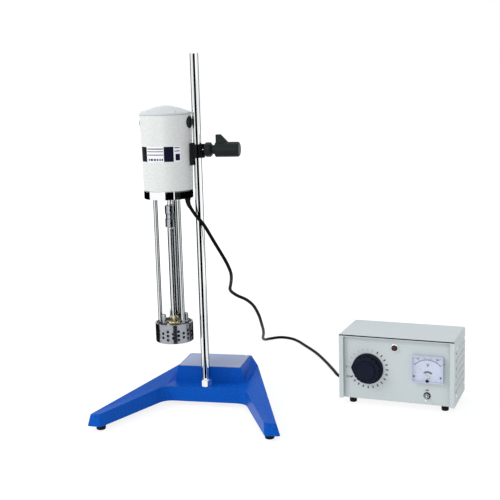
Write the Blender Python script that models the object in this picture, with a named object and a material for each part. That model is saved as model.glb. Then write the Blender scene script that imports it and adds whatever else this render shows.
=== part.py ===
# Laboratory homogenizer: a cast stand with a plated column, a motor head that
# slides and swivels on it, a perforated working head on three rods, and a
# separate speed control box joined to the motor by a lead.
# Metres, +Z up. The stand's front faces -Y and the control box stands at its +X side.

import bpy
import bmesh
import math
from mathutils import Matrix, Vector

MM = 0.001

# Clearances shared by all pieces
FIT = 0.3 * MM               # gap between two pieces that seat on each other
RUN = 0.4 * MM               # gap between a turning piece and what surrounds it
OVERRUN = 1.0 * MM           # how far a cutter passes the face it cuts
SEAM = 0.001 * MM            # merge distance for coincident points

# Facets round large, medium and small turned forms
LARGE_COUNT = 28
MEDIUM_COUNT = 20
SMALL_COUNT = 14
FINE_COUNT = 10

# Column axis from the middle of the whole footprint
COLUMN_X = -161.77 * MM
COLUMN_Y = 2.9 * MM

# Column
COLUMN_DIAMETER = 16.0 * MM
COLUMN_TOP = 698.0 * MM      # height of the column's top above the floor
COLUMN_CHAMFER = 1.5 * MM
SPIGOT_DIAMETER = 12.0 * MM
COLLAR_FLATS = 20.0 * MM     # hexagonal foot collar, across flats
COLLAR_HEIGHT = 14.0 * MM
COLLAR_CHAMFER = 1.6 * MM

# Cast base
SKIRT_HEIGHT = 9.5 * MM      # lower edge of the casting above the floor
LEDGE_HEIGHT = 40.0 * MM
LEDGE_FRONT = 12.5 * MM      # front wall ahead of the column axis
LEDGE_HALF_WIDTH = 83.0 * MM
BOSS_FRONT = 28.0 * MM       # raised boss behind the column axis
BOSS_DEPTH = 96.0 * MM
BOSS_HEIGHT = 70.5 * MM
BOSS_HALF_WIDTH = 67.0 * MM
BOSS_FLARE = 7.0 * MM        # how much wider the boss is at its foot
SHOULDER_HALF_WIDTH = 83.0 * MM
SHOULDER_BACK = 112.0 * MM
SHOULDER_HEIGHT = 53.0 * MM
REAR_DRAFT = 5.0 * MM
LEG_REACH = 181.0 * MM       # leg tips ahead of the column axis
LEG_TIP_INNER = 157.0 * MM
LEG_TIP_WIDTH = 22.5 * MM
LEG_TIP_HEIGHT = 35.5 * MM
LEG_TIP_FALL = 3.0 * MM      # outer edge lower than the inner edge
LEG_TIP_DRAFT = 7.0 * MM     # how far the tip's outer wall leans out at its foot
LEG_TIP_ROUND = 5.0 * MM
LEG_ROOT_ROUND = 16.0 * MM   # where a leg leaves the front wall
CASTING_WALL = 5.0 * MM
CASTING_ROUND = 3.2 * MM
HOLLOW_ROUND = 1.5 * MM
COLUMN_PAD_WIDTH = 40.0 * MM
COLUMN_PAD_BACK = 22.0 * MM
COLUMN_PAD_BOTTOM = 12.0 * MM
NUT_POCKET_TOP = 22.0 * MM
NUT_FLATS = 15.0 * MM
FOOT_DIAMETER = 18.0 * MM
FOOT_STEM_DIAMETER = 5.6 * MM
FOOT_STEM_LENGTH = 7.0 * MM
FOOT_PAD_DIAMETER = 15.0 * MM
FOOT_FRONT_SETBACK = 18.0 * MM   # front feet behind the leg tips
FOOT_FRONT_SHARE = 0.27          # of the tip's width, out from its inner edge
FOOT_REAR_X = 60.0 * MM
FOOT_REAR_Y = 106.0 * MM
PAD_SINK = 2.0 * MM          # how far a cast pad runs into the wall above it
PLATE_MARGIN = 3.0 * MM
PLATE_THICKNESS = 1.0 * MM
PLATE_CORNER = 3.0 * MM

# Motor head, on an axis parallel to the column
HEAD_OFFSET = 61.5 * MM      # motor axis to column axis
STATOR_MOUTH = 134.5 * MM    # lower edge of the working head above the floor
STATOR_HEIGHT = 38.0 * MM
STATOR_DIAMETER = 75.2 * MM
STATOR_WALL = 2.5 * MM
STATOR_HOLE_DIAMETER = 5.0 * MM
STATOR_HOLE_COLUMNS = 22
STATOR_HOLE_PITCH = 8.4 * MM
STATOR_HOLE_LOWEST = 8.0 * MM
STATOR_HOLE_TURN = math.radians(-77)   # a column of two holes faces this way
PLATE_RECESS = 4.0 * MM      # top plate below the ring's rim
TOP_PLATE_THICKNESS = 4.0 * MM
SEAT_STEP_HEIGHT = 2.5 * MM  # inner step that carries the top plate
SEAT_STEP_WIDTH = 2.0 * MM
FLOW_SLOT_INNER = 11.5 * MM
FLOW_SLOT_OUTER = 20.0 * MM
FLOW_SLOT_COUNT = 3
ROD_CIRCLE_RADIUS = 27.5 * MM
ROD_DIAMETER = 8.2 * MM
ROD_SPIGOT_DIAMETER = 5.0 * MM
ROD_FREE_LENGTH = 252.9 * MM   # from the top plate to the motor's end ring
NUT_CIRCLE_RADIUS = 25.6 * MM
CAP_NUT_FLATS = 10.0 * MM
CAP_NUT_HEX_HEIGHT = 8.0 * MM
CAP_NUT_HEIGHT = 23.5 * MM
CAP_NUT_SHANK_DIAMETER = 4.0 * MM
BUSH_DIAMETER = 15.0 * MM
BUSH_RISE = 14.0 * MM
BUSH_FLANGE_DIAMETER = 22.0 * MM
BUSH_FLANGE_THICKNESS = 2.0 * MM
DRIVE_SHAFT_DIAMETER = 11.5 * MM
COUPLING_DIAMETER = 18.5 * MM
COUPLING_LENGTH = 44.0 * MM
COUPLING_DROP = 14.5 * MM      # coupling's top below the end ring
COUPLING_NECK = 1.2 * MM
ROTOR_TIP_RADIUS = 31.0 * MM
ROTOR_HUB_DIAMETER = 20.0 * MM
ROTOR_HEIGHT = 13.0 * MM
ROTOR_BLADE_THICKNESS = 3.0 * MM
ROTOR_LIFT = 3.0 * MM          # rotor's lower face above the ring's mouth
ROTOR_DISC_THICKNESS = 2.5 * MM
ROTOR_BLADE_COUNT = 4
END_RING_DIAMETER = 96.0 * MM
END_RING_HEIGHT = 16.2 * MM
END_RING_WALL = 5.0 * MM
END_RING_FLOOR = 4.0 * MM
RING_SPIGOT_HEIGHT = 4.5 * MM
AIR_HOLE_DIAMETER = 13.0 * MM
AIR_HOLE_CIRCLE_RADIUS = 30.0 * MM
BEARING_HUB_WALL = 3.0 * MM
HOUSING_BOTTOM_DIAMETER = 97.0 * MM
HOUSING_TOP_DIAMETER = 100.4 * MM
HOUSING_HEIGHT = 145.0 * MM
HOUSING_BORE_DIAMETER = 91.0 * MM
LID_DIAMETER = 102.0 * MM
LID_RIM = 3.0 * MM
LID_RISE = 14.0 * MM
LID_DOME_SHARE = 1.7           # power of the dome's curve
LID_SPIGOT = 1.2 * MM
MOTOR_SHAFT_DIAMETER = 10.0 * MM
BEARING_DIAMETER = 26.0 * MM
BEARING_WIDTH = 8.0 * MM
UPPER_BEARING_DIAMETER = 22.0 * MM
UPPER_BEARING_WIDTH = 7.0 * MM
CORE_DIAMETER = 52.0 * MM
CORE_LENGTH = 60.0 * MM
CORE_BASE = 48.0 * MM          # armature core above the end ring's floor
FIELD_LENGTH = 70.0 * MM
FIELD_AIR_GAP = 1.0 * MM
COMMUTATOR_DIAMETER = 26.0 * MM
COMMUTATOR_LENGTH = 24.0 * MM
FAN_DIAMETER = 80.0 * MM
FAN_BASE = 25.0 * MM           # fan above the end ring's floor
FAN_DISC = 2.0 * MM
FAN_DEPTH = 12.0 * MM
FAN_BLADES = 8
FAN_HUB_DIAMETER = 20.0 * MM
BRUSH_DROP = 15.0 * MM         # brush axis below the housing's top
BRUSH_CAP_DIAMETER = 23.0 * MM
BRUSH_CAP_DEPTH = 5.5 * MM
BRUSH_CAP_PROUD = 1.8 * MM
BRUSH_CAP_SLOT = 2.4 * MM
BRUSH_SLOT_DEPTH = 1.0 * MM
BRUSH_BOSS_DIAMETER = 15.0 * MM
BRUSH_SEAT_WALL = 2.0 * MM
BRUSH_SIDE = 7.0 * MM
BRUSH_TURN = math.radians(-8)
GLAND_CIRCLE_RADIUS = 41.6 * MM
GLAND_ANGLE = math.radians(-12)
GLAND_STEM_DIAMETER = 8.0 * MM
GLAND_FLANGE_DIAMETER = 12.0 * MM
GLAND_FLANGE_THICKNESS = 2.5 * MM
GLAND_LENGTH = 16.0 * MM
GLAND_TIP_DIAMETER = 7.6 * MM
GLAND_BEND = math.radians(40)
GLAND_HEADING = math.radians(-22)

# Directions of the repeated head parts, measured round the motor axis
ROD_ANGLES = [math.radians(a) for a in (-153, -33, 87)]
CAP_NUT_ANGLES = [math.radians(a) for a in (-123, -3, 117)]
AIR_HOLE_ANGLES = [math.radians(a) for a in (-93, 42, 147)]
FLOW_SLOT_TURN = math.radians(-63)
FLOW_SLOT_SPAN = math.radians(62)

# Clamp
CLAMP_HEIGHT = 514.3 * MM      # clamp screw axis above the floor
LINER_WALL = 1.5 * MM
LINER_LENGTH = 24.0 * MM
LINER_GAP_WIDTH = 8.6 * MM
BRACKET_FLANGE_WIDTH = 22.0 * MM
BRACKET_FLANGE_TOP = 13.2 * MM
BRACKET_FLANGE_BOTTOM = 29.3 * MM
BRACKET_FLANGE_FACE = 6.4 * MM   # flange's outer face short of the column axis
BRACKET_BARREL_DIAMETER = 29.0 * MM
BRACKET_BARREL_TOP = 10.8 * MM
BRACKET_BARREL_BOTTOM = 15.3 * MM
BRACKET_WEB_WIDTH = 14.0 * MM
BRACKET_MOUTH_WIDTH = 7.4 * MM
BRACKET_MOUTH_SHIFT = 5.6 * MM
BRACKET_ROUND = 1.2 * MM
STUD_DIAMETER = 6.2 * MM
STUD_WINDOW_HALF_HEIGHT = 3.7 * MM
LOCK_NUT_GAP = 0.8 * MM
LOCK_NUT_DIAMETER = 29.0 * MM
LOCK_NUT_LENGTH = 14.0 * MM
LOCK_NUT_CHAMFER = 3.0 * MM
LOCK_NUT_SIDES = 8
NECK_DIAMETER = 17.5 * MM
NECK_LENGTH = 6.5 * MM
HANDLE_DIAMETER = 29.0 * MM
HANDLE_LENGTH = 47.5 * MM
HANDLE_ROUND = 3.5 * MM
FIN_HEIGHT = 29.0 * MM          # fin's top above the screw axis
FIN_TOP_LENGTH = 10.6 * MM
FIN_FOOT_LENGTH = 24.5 * MM
FIN_THICKNESS = 9.0 * MM
STUD_GRIP = 20.0 * MM           # stud length held in the handle

# Control box, turned a little towards the stand
BOX_CENTRE_X = 385.9 * MM
BOX_CENTRE_Y = 83.9 * MM
BOX_YAW = math.radians(-9.05)
BOX_WIDTH = 228.5 * MM
BOX_DEPTH = 119.5 * MM
BOX_HEIGHT = 131.8 * MM
BOX_FOOT_HEIGHT = 13.0 * MM
BOX_FOOT_DIAMETER = 14.4 * MM
BOX_FOOT_INSET_X = 22.0 * MM
BOX_FOOT_INSET_Y = 25.0 * MM
BOX_FOOT_STEM = 5.0 * MM
SHEET = 1.5 * MM
FRONT_LIP = 5.5 * MM
PANEL_RECESS = 8.0 * MM
PANEL_THICKNESS = 2.0 * MM
COVER_ROUND = 3.5 * MM
REAR_INSET = 2.0 * MM
LOUVRE_COUNT = 6
LOUVRE_LENGTH = 88.0 * MM
LOUVRE_HEIGHT = 3.0 * MM
LOUVRE_PITCH = 15.5 * MM
LOUVRE_FIRST = 24.0 * MM        # lowest louvre above the box's lower edge

# Front panel layout, from the panel's middle and the box's lower edge
KNOB_X = -57.0 * MM
KNOB_Z = 63.0 * MM
LAMP_X = -3.1 * MM
LAMP_Z = 109.0 * MM
METER_X = 62.0 * MM
METER_Z = 72.3 * MM
TOGGLE_X = 60.3 * MM
TOGGLE_Z = 18.0 * MM

KNOB_SKIRT_DIAMETER = 62.0 * MM
KNOB_SKIRT_THICKNESS = 4.0 * MM
KNOB_NOSE = 34.0 * MM
KNOB_NOSE_WIDTH = 9.0 * MM
KNOB_BODY_DIAMETER = 52.0 * MM
KNOB_BODY_HEIGHT = 14.0 * MM
KNOB_CAP_DIAMETER = 38.0 * MM
KNOB_CAP_HEIGHT = 3.0 * MM
KNOB_FLUTES = 18
KNOB_FLUTE_DEPTH = 1.5 * MM
KNOB_CLEARANCE = 0.6 * MM
VARIAC_SHAFT_DIAMETER = 6.3 * MM
VARIAC_DIAMETER = 90.0 * MM
VARIAC_BORE_DIAMETER = 44.0 * MM
VARIAC_LENGTH = 34.0 * MM
VARIAC_WEB = 4.0 * MM
VARIAC_HUB_DIAMETER = 14.0 * MM
WIPER_REACH = 38.0 * MM
WIPER_WIDTH = 8.0 * MM
WIPER_THICKNESS = 3.0 * MM
SHAFT_GRIP = 12.0 * MM          # shaft length held in the knob

METER_WIDTH = 61.5 * MM
METER_HEIGHT = 53.5 * MM
METER_DEPTH = 9.0 * MM
METER_WALL = 2.2 * MM
METER_ROUND = 1.2 * MM
METER_BARREL_DIAMETER = 38.0 * MM
METER_BARREL_DEPTH = 22.0 * MM
METER_WINDOW_THICKNESS = 1.2 * MM
METER_CAVITY = 5.0 * MM
NEEDLE_PIVOT_DROP = 15.0 * MM   # pivot below the meter's middle
NEEDLE_LENGTH = 28.0 * MM
NEEDLE_WIDTH = 1.2 * MM
NEEDLE_THICKNESS = 0.6 * MM
NEEDLE_HUB_DIAMETER = 7.0 * MM
NEEDLE_HUB_HEIGHT = 1.8 * MM
NEEDLE_PIN_DIAMETER = 2.0 * MM
NEEDLE_REST = math.radians(48)  # rest position left of upright

LAMP_BEZEL_DIAMETER = 15.5 * MM
LAMP_BEZEL_HEIGHT = 2.4 * MM
LAMP_BARREL_DIAMETER = 13.5 * MM
LAMP_BARREL_LENGTH = 9.0 * MM
LENS_DIAMETER = 11.0 * MM
LENS_RISE = 4.5 * MM

TOGGLE_NUT_DIAMETER = 11.0 * MM
TOGGLE_NUT_HEIGHT = 3.2 * MM
TOGGLE_BUSH_DIAMETER = 6.4 * MM
TOGGLE_BUSH_PROUD = 4.6 * MM
TOGGLE_BODY_WIDTH = 13.0 * MM
TOGGLE_BODY_HEIGHT = 20.0 * MM
TOGGLE_BODY_DEPTH = 18.0 * MM
TOGGLE_SOCKET_DIAMETER = 4.6 * MM
TOGGLE_SOCKET_DEPTH = 5.0 * MM
LEVER_BALL_DIAMETER = 3.6 * MM
LEVER_STEM_DIAMETER = 2.0 * MM
LEVER_TIP_DIAMETER = 3.8 * MM
LEVER_LENGTH = 13.0 * MM
LEVER_TILT = math.radians(24)

INLET_X = 55.0 * MM
INLET_Z = 34.0 * MM
INLET_FLANGE_WIDTH = 32.0 * MM
INLET_FLANGE_HEIGHT = 26.0 * MM
INLET_FLANGE_THICKNESS = 2.5 * MM
INLET_BODY_WIDTH = 28.0 * MM
INLET_BODY_HEIGHT = 21.0 * MM
INLET_BODY_DEPTH = 22.0 * MM
INLET_SOCKET_WIDTH = 23.0 * MM
INLET_SOCKET_HEIGHT = 15.0 * MM
INLET_SOCKET_DEPTH = 17.0 * MM
INLET_PIN_WIDTH = 2.0 * MM
INLET_PIN_HEIGHT = 4.0 * MM
INLET_PIN_SPACING = 7.0 * MM

BOX_GLAND_X = -40.0 * MM
BOX_GLAND_Z = 18.5 * MM
BOX_GLAND_STEM_DIAMETER = 9.0 * MM
BOX_GLAND_FLANGE_DIAMETER = 15.0 * MM
BOX_GLAND_FLANGE_THICKNESS = 3.0 * MM
BOX_GLAND_LENGTH = 24.0 * MM
BOX_GLAND_TIP_DIAMETER = 7.6 * MM

# Motor lead: points of the route chosen by hand, in millimetres from the column axis
# at floor level. Its first stretch leaves the gland under the motor and its last one
# enters the gland behind the control box.
LEAD_DIAMETER = 6.8 * MM
LEAD_STRAIGHT = 18.0 * MM       # straight stretch at each gland
LEAD_POINT_COUNT = 62
LEAD_ROUTE_MM = [
    (11.5, -13.7, 369.5), (19.8, -13, 355), (28.5, -5.4, 335),
    (36.8, 7.3, 313), (43.8, 26.7, 288), (45.7, 50, 264), (40.5, 74.6, 246), (33.4, 97, 230),
    (26.2, 119, 212), (33.3, 143, 196), (47.1, 170, 181), (56.2, 200, 161), (60.3, 235, 131),
    (57.9, 271, 103), (52.6, 312, 78), (44.5, 352, 57), (34, 394, 38.5), (25.5, 436, 21.5),
    (23, 474, 9.5), (31, 505, 4.2), (52, 521, 3.7), (80, 512, 3.7), (103, 488, 3.7), (122, 458, 3.7),
    (162, 392, 3.7), (198, 316, 3.7), (224, 254, 3.7), (238, 221, 3.7), (256, 202, 3.7),
    (280, 200, 3.7), (303, 213, 4.7), (324, 226, 8.5), (347, 225, 15.5), (361, 211, 25),
]

# Surface finishes: colour, roughness, metallic
FINISHES = {
    "blue_enamel": ((0.008, 0.075, 0.46), 0.35, 0.0),
    "white_enamel": ((0.80, 0.82, 0.78), 0.25, 0.0),
    "chrome": ((0.86, 0.87, 0.88), 0.08, 1.0),
    "ground_steel": ((0.60, 0.61, 0.62), 0.28, 1.0),
    "stainless": ((0.52, 0.52, 0.53), 0.35, 1.0),
    "brass": ((0.72, 0.52, 0.22), 0.3, 1.0),
    "copper": ((0.70, 0.32, 0.18), 0.35, 1.0),
    "black_plastic": ((0.015, 0.017, 0.017), 0.4, 0.0),
    "black_enamel": ((0.012, 0.014, 0.014), 0.35, 0.0),
    "black_rubber": ((0.02, 0.02, 0.02), 0.75, 0.0),
    "nylon": ((0.75, 0.73, 0.68), 0.5, 0.0),
    "carbon": ((0.03, 0.03, 0.03), 0.6, 0.2),
    "grey_enamel": ((0.58, 0.65, 0.64), 0.4, 0.0),
    "bare_plate": ((0.55, 0.57, 0.68), 0.3, 0.4),
    "zinc_sheet": ((0.55, 0.56, 0.57), 0.4, 0.9),
    "iron_winding": ((0.25, 0.12, 0.07), 0.45, 0.3),
    "clear_acrylic": ((0.9, 0.92, 0.93), 0.05, 0.0),
    "meter_moulding": ((0.78, 0.79, 0.78), 0.3, 0.0),
    "red_lens": ((0.35, 0.02, 0.02), 0.15, 0.0),
}


def clear_scene():
    for thing in list(bpy.data.objects):
        bpy.data.objects.remove(thing, do_unlink=True)


def make_finish(name):
    colour, roughness, metallic = FINISHES[name]
    finish = bpy.data.materials.get(name) or bpy.data.materials.new(name)
    finish.use_nodes = True
    shader = finish.node_tree.nodes["Principled BSDF"]
    shader.inputs["Base Color"].default_value = (*colour, 1.0)
    shader.inputs["Roughness"].default_value = roughness
    shader.inputs["Metallic"].default_value = metallic
    return finish


def make_empty(name, location, parent=None, yaw=0.0):
    empty = bpy.data.objects.new(name, None)
    bpy.context.scene.collection.objects.link(empty)
    empty.location = location
    empty.rotation_euler.z = yaw
    empty.parent = parent
    return empty


def make_piece(name, bm, finish, parent, location=(0, 0, 0), smooth=True):
    bmesh.ops.remove_doubles(bm, verts=bm.verts, dist=SEAM)
    bmesh.ops.recalc_face_normals(bm, faces=bm.faces)
    mesh = bpy.data.meshes.new(name)
    bm.to_mesh(mesh)
    bm.free()
    if smooth:
        mesh.shade_smooth()
        mesh.set_sharp_from_angle(angle=math.radians(35))
    piece = bpy.data.objects.new(name, mesh)
    bpy.context.scene.collection.objects.link(piece)
    piece.location = location
    piece.parent = parent
    if finish:
        mesh.materials.append(make_finish(finish))
    return piece


def make_cutter(name, bm, parent, location=(0, 0, 0)):
    cutter = make_piece(name, bm, None, parent, location, smooth=False)
    cutter.hide_render = True
    cutter.display_type = 'WIRE'
    return cutter


def combine(piece, other, operation):
    modifier = piece.modifiers.new(operation.title() + "_" + other.name, 'BOOLEAN')
    modifier.operation = operation
    modifier.solver = 'EXACT'
    modifier.object = other
    return modifier


def cut(piece, other):
    return combine(piece, other, 'DIFFERENCE')


def fuse(piece, other):
    return combine(piece, other, 'UNION')


def round_edges(piece, width, segments=2, angle=25):
    modifier = piece.modifiers.new("Rounded", 'BEVEL')
    modifier.width = width
    modifier.segments = segments
    modifier.limit_method = 'ANGLE'
    modifier.angle_limit = math.radians(angle)
    return modifier


# Shape helpers. Each returns a bmesh.

AXIS_TURN = {
    "Z": Matrix.Identity(3),
    "X": Matrix.Rotation(math.radians(90), 3, 'Y'),
    "Y": Matrix.Rotation(math.radians(-90), 3, 'X'),
}


def turned(profile, steps=MEDIUM_COUNT, axis="Z"):
    """A profile of (radius, height) points spun round an axis; heights run along it."""
    bm = bmesh.new()
    points = [bm.verts.new((radius, 0, height)) for radius, height in profile]
    on_axis = profile[0][0] == 0 and profile[-1][0] == 0
    count = len(points) - 1 if on_axis else len(points)
    edges = [bm.edges.new((points[i], points[(i + 1) % len(points)])) for i in range(count)]
    bmesh.ops.spin(bm, geom=points + edges, cent=(0, 0, 0), axis=(0, 0, 1),
                   angle=math.tau, steps=steps, use_duplicate=False)
    bmesh.ops.remove_doubles(bm, verts=bm.verts, dist=SEAM)
    bmesh.ops.recalc_face_normals(bm, faces=bm.faces)
    bmesh.ops.rotate(bm, verts=bm.verts, cent=(0, 0, 0), matrix=AXIS_TURN[axis])
    return bm


def cylinder(radius, low, high, steps=MEDIUM_COUNT, axis="Z"):
    return turned([(0, low), (radius, low), (radius, high), (0, high)], steps, axis)


def tube(inner, outer, low, high, steps=MEDIUM_COUNT, axis="Z"):
    return turned([(inner, low), (outer, low), (outer, high), (inner, high)], steps, axis)


def block(low, high):
    bm = bmesh.new()
    bmesh.ops.create_cube(bm, size=1)
    low, high = Vector(low), Vector(high)
    bmesh.ops.scale(bm, vec=high - low, verts=bm.verts)
    bmesh.ops.translate(bm, vec=(low + high) / 2, verts=bm.verts)
    return bm


def prism(outline, low, high, axis="Z"):
    """An outline of (x, y) points extruded from low to high along an axis."""
    bm = bmesh.new()
    face = bm.faces.new([bm.verts.new((x, y, low)) for x, y in outline])
    grown = bmesh.ops.extrude_face_region(bm, geom=[face])
    tops = [v for v in grown["geom"] if isinstance(v, bmesh.types.BMVert)]
    bmesh.ops.translate(bm, vec=(0, 0, high - low), verts=tops)
    bmesh.ops.recalc_face_normals(bm, faces=bm.faces)
    bmesh.ops.rotate(bm, verts=bm.verts, cent=(0, 0, 0), matrix=AXIS_TURN[axis])
    return bm


def loft(rings):
    """Closed rings of equal point count joined in order and capped at both ends."""
    bm = bmesh.new()
    layers = [[bm.verts.new(p) for p in ring] for ring in rings]
    for lower, upper in zip(layers, layers[1:]):
        for i, point in enumerate(lower):
            j = (i + 1) % len(lower)
            bm.faces.new((point, lower[j], upper[j], upper[i]))
    bm.faces.new(layers[0])
    bm.faces.new(layers[-1])
    return bm


def polygon(sides, flats, turn=0.0):
    corner = flats / 2 / math.cos(math.pi / sides)
    return [(corner * math.cos(turn + math.tau * i / sides),
             corner * math.sin(turn + math.tau * i / sides)) for i in range(sides)]


def rounded_rectangle(width, height, corner, steps=4):
    points = []
    centres = ((1, 1), (-1, 1), (-1, -1), (1, -1))
    for index, (sx, sy) in enumerate(centres):
        cx = sx * (width / 2 - corner)
        cy = sy * (height / 2 - corner)
        for step in range(steps + 1):
            a = math.pi / 2 * (index + step / steps)
            points.append((cx + corner * math.cos(a), cy + corner * math.sin(a)))
    return points


def nut_solid(flats, low, high, chamfer, sides=6, axis="Z"):
    """A chamfered prism with flats, still without its bore."""
    outline = polygon(sides, flats)
    inner = flats / 2 - chamfer / 2
    ends = [(x * inner / math.hypot(x, y), y * inner / math.hypot(x, y)) for x, y in outline]
    levels = [(ends, low), (outline, low + chamfer / 2), (outline, high - chamfer / 2), (ends, high)]
    bm = loft([[(x, y, z) for x, y in ring] for ring, z in levels])
    bmesh.ops.recalc_face_normals(bm, faces=bm.faces)
    bmesh.ops.rotate(bm, verts=bm.verts, cent=(0, 0, 0), matrix=AXIS_TURN[axis])
    return bm


def bore_through(piece, radius, low, high, parent, axis="Z", location=(0, 0, 0)):
    hole = cylinder(radius, low - OVERRUN, high + OVERRUN, SMALL_COUNT, axis)
    return cut(piece, make_cutter("guide_bore_" + piece.name, hole, parent, location))


def merge(*shapes):
    """Several shapes in one bmesh, for cutters with more than one body."""
    whole = bmesh.new()
    for shape in shapes:
        mesh = bpy.data.meshes.new("part_of_cutter")
        shape.to_mesh(mesh)
        shape.free()
        whole.from_mesh(mesh)
        bpy.data.meshes.remove(mesh)
    return whole


def moved(bm, offset):
    bmesh.ops.translate(bm, vec=offset, verts=bm.verts)
    return bm


def spun(bm, angle, axis='Z'):
    bmesh.ops.rotate(bm, verts=bm.verts, cent=(0, 0, 0), matrix=Matrix.Rotation(angle, 3, axis))
    return bm


def on_circle(radius, angle):
    return Vector((radius * math.cos(angle), radius * math.sin(angle), 0))


# Stand

def inset_outline(points, distance):
    """The outline moved inwards by a distance, edge by edge."""
    result = []
    count = len(points)
    for i in range(count):
        before, here, after = (Vector(points[(i + k) % count]) for k in (-1, 0, 1))
        first = (here - before).normalized()
        second = (after - here).normalized()
        normal = Vector((-first.y, first.x)) + Vector((-second.y, second.x))
        normal.normalize()
        spread = normal.dot(Vector((-first.y, first.x)))
        result.append(here + normal * distance / spread)
    return [(p.x, p.y) for p in result]


def base_form(wall, low):
    """The casting's outer form, or its hollow when a wall thickness is given."""
    boss_back = BOSS_FRONT + BOSS_DEPTH
    tip_outer = LEG_TIP_INNER + LEG_TIP_WIDTH
    half = [(LEDGE_HALF_WIDTH, -LEDGE_FRONT), (LEG_TIP_INNER, -LEG_REACH),
            (tip_outer, -LEG_REACH + LEG_TIP_FALL), (SHOULDER_HALF_WIDTH, SHOULDER_BACK),
            (BOSS_HALF_WIDTH, boss_back)]
    outline = half + [(-x, y) for x, y in reversed(half)]
    outline = inset_outline(outline, wall)
    inner, tip, outer, shoulder, rear = outline[:5]
    foot_x = BOSS_HALF_WIDTH + BOSS_FLARE - wall
    top_x = BOSS_HALF_WIDTH - wall
    front_y = BOSS_FRONT + wall
    drop = wall
    draft = REAR_DRAFT if wall == 0 else 0
    lean = LEG_TIP_DRAFT if wall == 0 else 0
    bm = bmesh.new()

    def pair(x, y, z):
        return [bm.verts.new((x, y, z)), bm.verts.new((-x, y, z))]

    inner_top = pair(inner[0], inner[1], LEDGE_HEIGHT - drop)
    tip_top = pair(tip[0], tip[1], LEG_TIP_HEIGHT - drop)
    outer_top = pair(outer[0], outer[1], LEG_TIP_HEIGHT - LEG_TIP_FALL - drop)
    shoulder_top = pair(shoulder[0], shoulder[1], SHOULDER_HEIGHT - drop)
    ledge_back = pair(foot_x, front_y, LEDGE_HEIGHT - drop)
    boss_front = pair(top_x, front_y, BOSS_HEIGHT - drop)
    boss_rear = pair(rear[0], rear[1], BOSS_HEIGHT - drop)
    inner_low = pair(inner[0], inner[1], low)
    tip_low = pair(tip[0], tip[1], low)
    outer_low = pair(outer[0] + lean, outer[1], low)
    shoulder_low = pair(shoulder[0] + draft / 2, shoulder[1], low)
    rear_low = pair(rear[0] + draft / 2, rear[1] + draft, low)
    for s in (0, 1):
        for loop in ((inner_top, tip_top, outer_top, shoulder_top),
                     (inner_top, shoulder_top, ledge_back),
                     (ledge_back, shoulder_top, boss_rear, boss_front),
                     (inner_top, inner_low, tip_low, tip_top),
                     (tip_top, tip_low, outer_low, outer_top),
                     (outer_top, outer_low, shoulder_low, shoulder_top),
                     (shoulder_top, shoulder_low, rear_low, boss_rear)):
            bm.faces.new([v[s] for v in loop])
    for first, second in ((inner_top, ledge_back), (ledge_back, boss_front),
                          (boss_front, boss_rear), (boss_rear, rear_low),
                          (inner_low, inner_top)):
        bm.faces.new((first[0], second[0], second[1], first[1]))
    floor = [inner_low, tip_low, outer_low, shoulder_low, rear_low]
    bm.faces.new([v[0] for v in floor] + [v[1] for v in reversed(floor)])
    bmesh.ops.recalc_face_normals(bm, faces=bm.faces)
    if wall == 0:
        round_upright(bm, inner_low + tip_low + outer_low, inner_top + tip_top + outer_top,
                      [LEG_ROOT_ROUND] * 2 + [LEG_TIP_ROUND] * 4)
    return bm


def round_upright(bm, feet, heads, radii):
    """Rounds the edge between each foot and head vertex, one after the other."""
    pairs = [(Vector(foot.co), Vector(head.co), radius)
             for foot, head, radius in zip(feet, heads, radii)]
    for foot, head, radius in pairs:
        for edge in bm.edges:
            ends = [v.co for v in edge.verts]
            if all(min((end - foot).length, (end - head).length) < SEAM for end in ends):
                bmesh.ops.bevel(bm, geom=[edge], offset=radius, segments=3, profile=0.5,
                                affect="EDGES", clamp_overlap=True)
                break


def foot_places():
    front_x = LEG_TIP_INNER + FOOT_FRONT_SHARE * LEG_TIP_WIDTH
    front_y = LEG_REACH - FOOT_FRONT_SETBACK
    return {
        "front_left": (-front_x, -front_y, LEG_TIP_HEIGHT - LEG_TIP_FALL),
        "front_right": (front_x, -front_y, LEG_TIP_HEIGHT - LEG_TIP_FALL),
        "rear_left": (-FOOT_REAR_X, FOOT_REAR_Y, BOSS_HEIGHT - CASTING_WALL),
        "rear_right": (FOOT_REAR_X, FOOT_REAR_Y, BOSS_HEIGHT - CASTING_WALL),
    }


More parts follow.
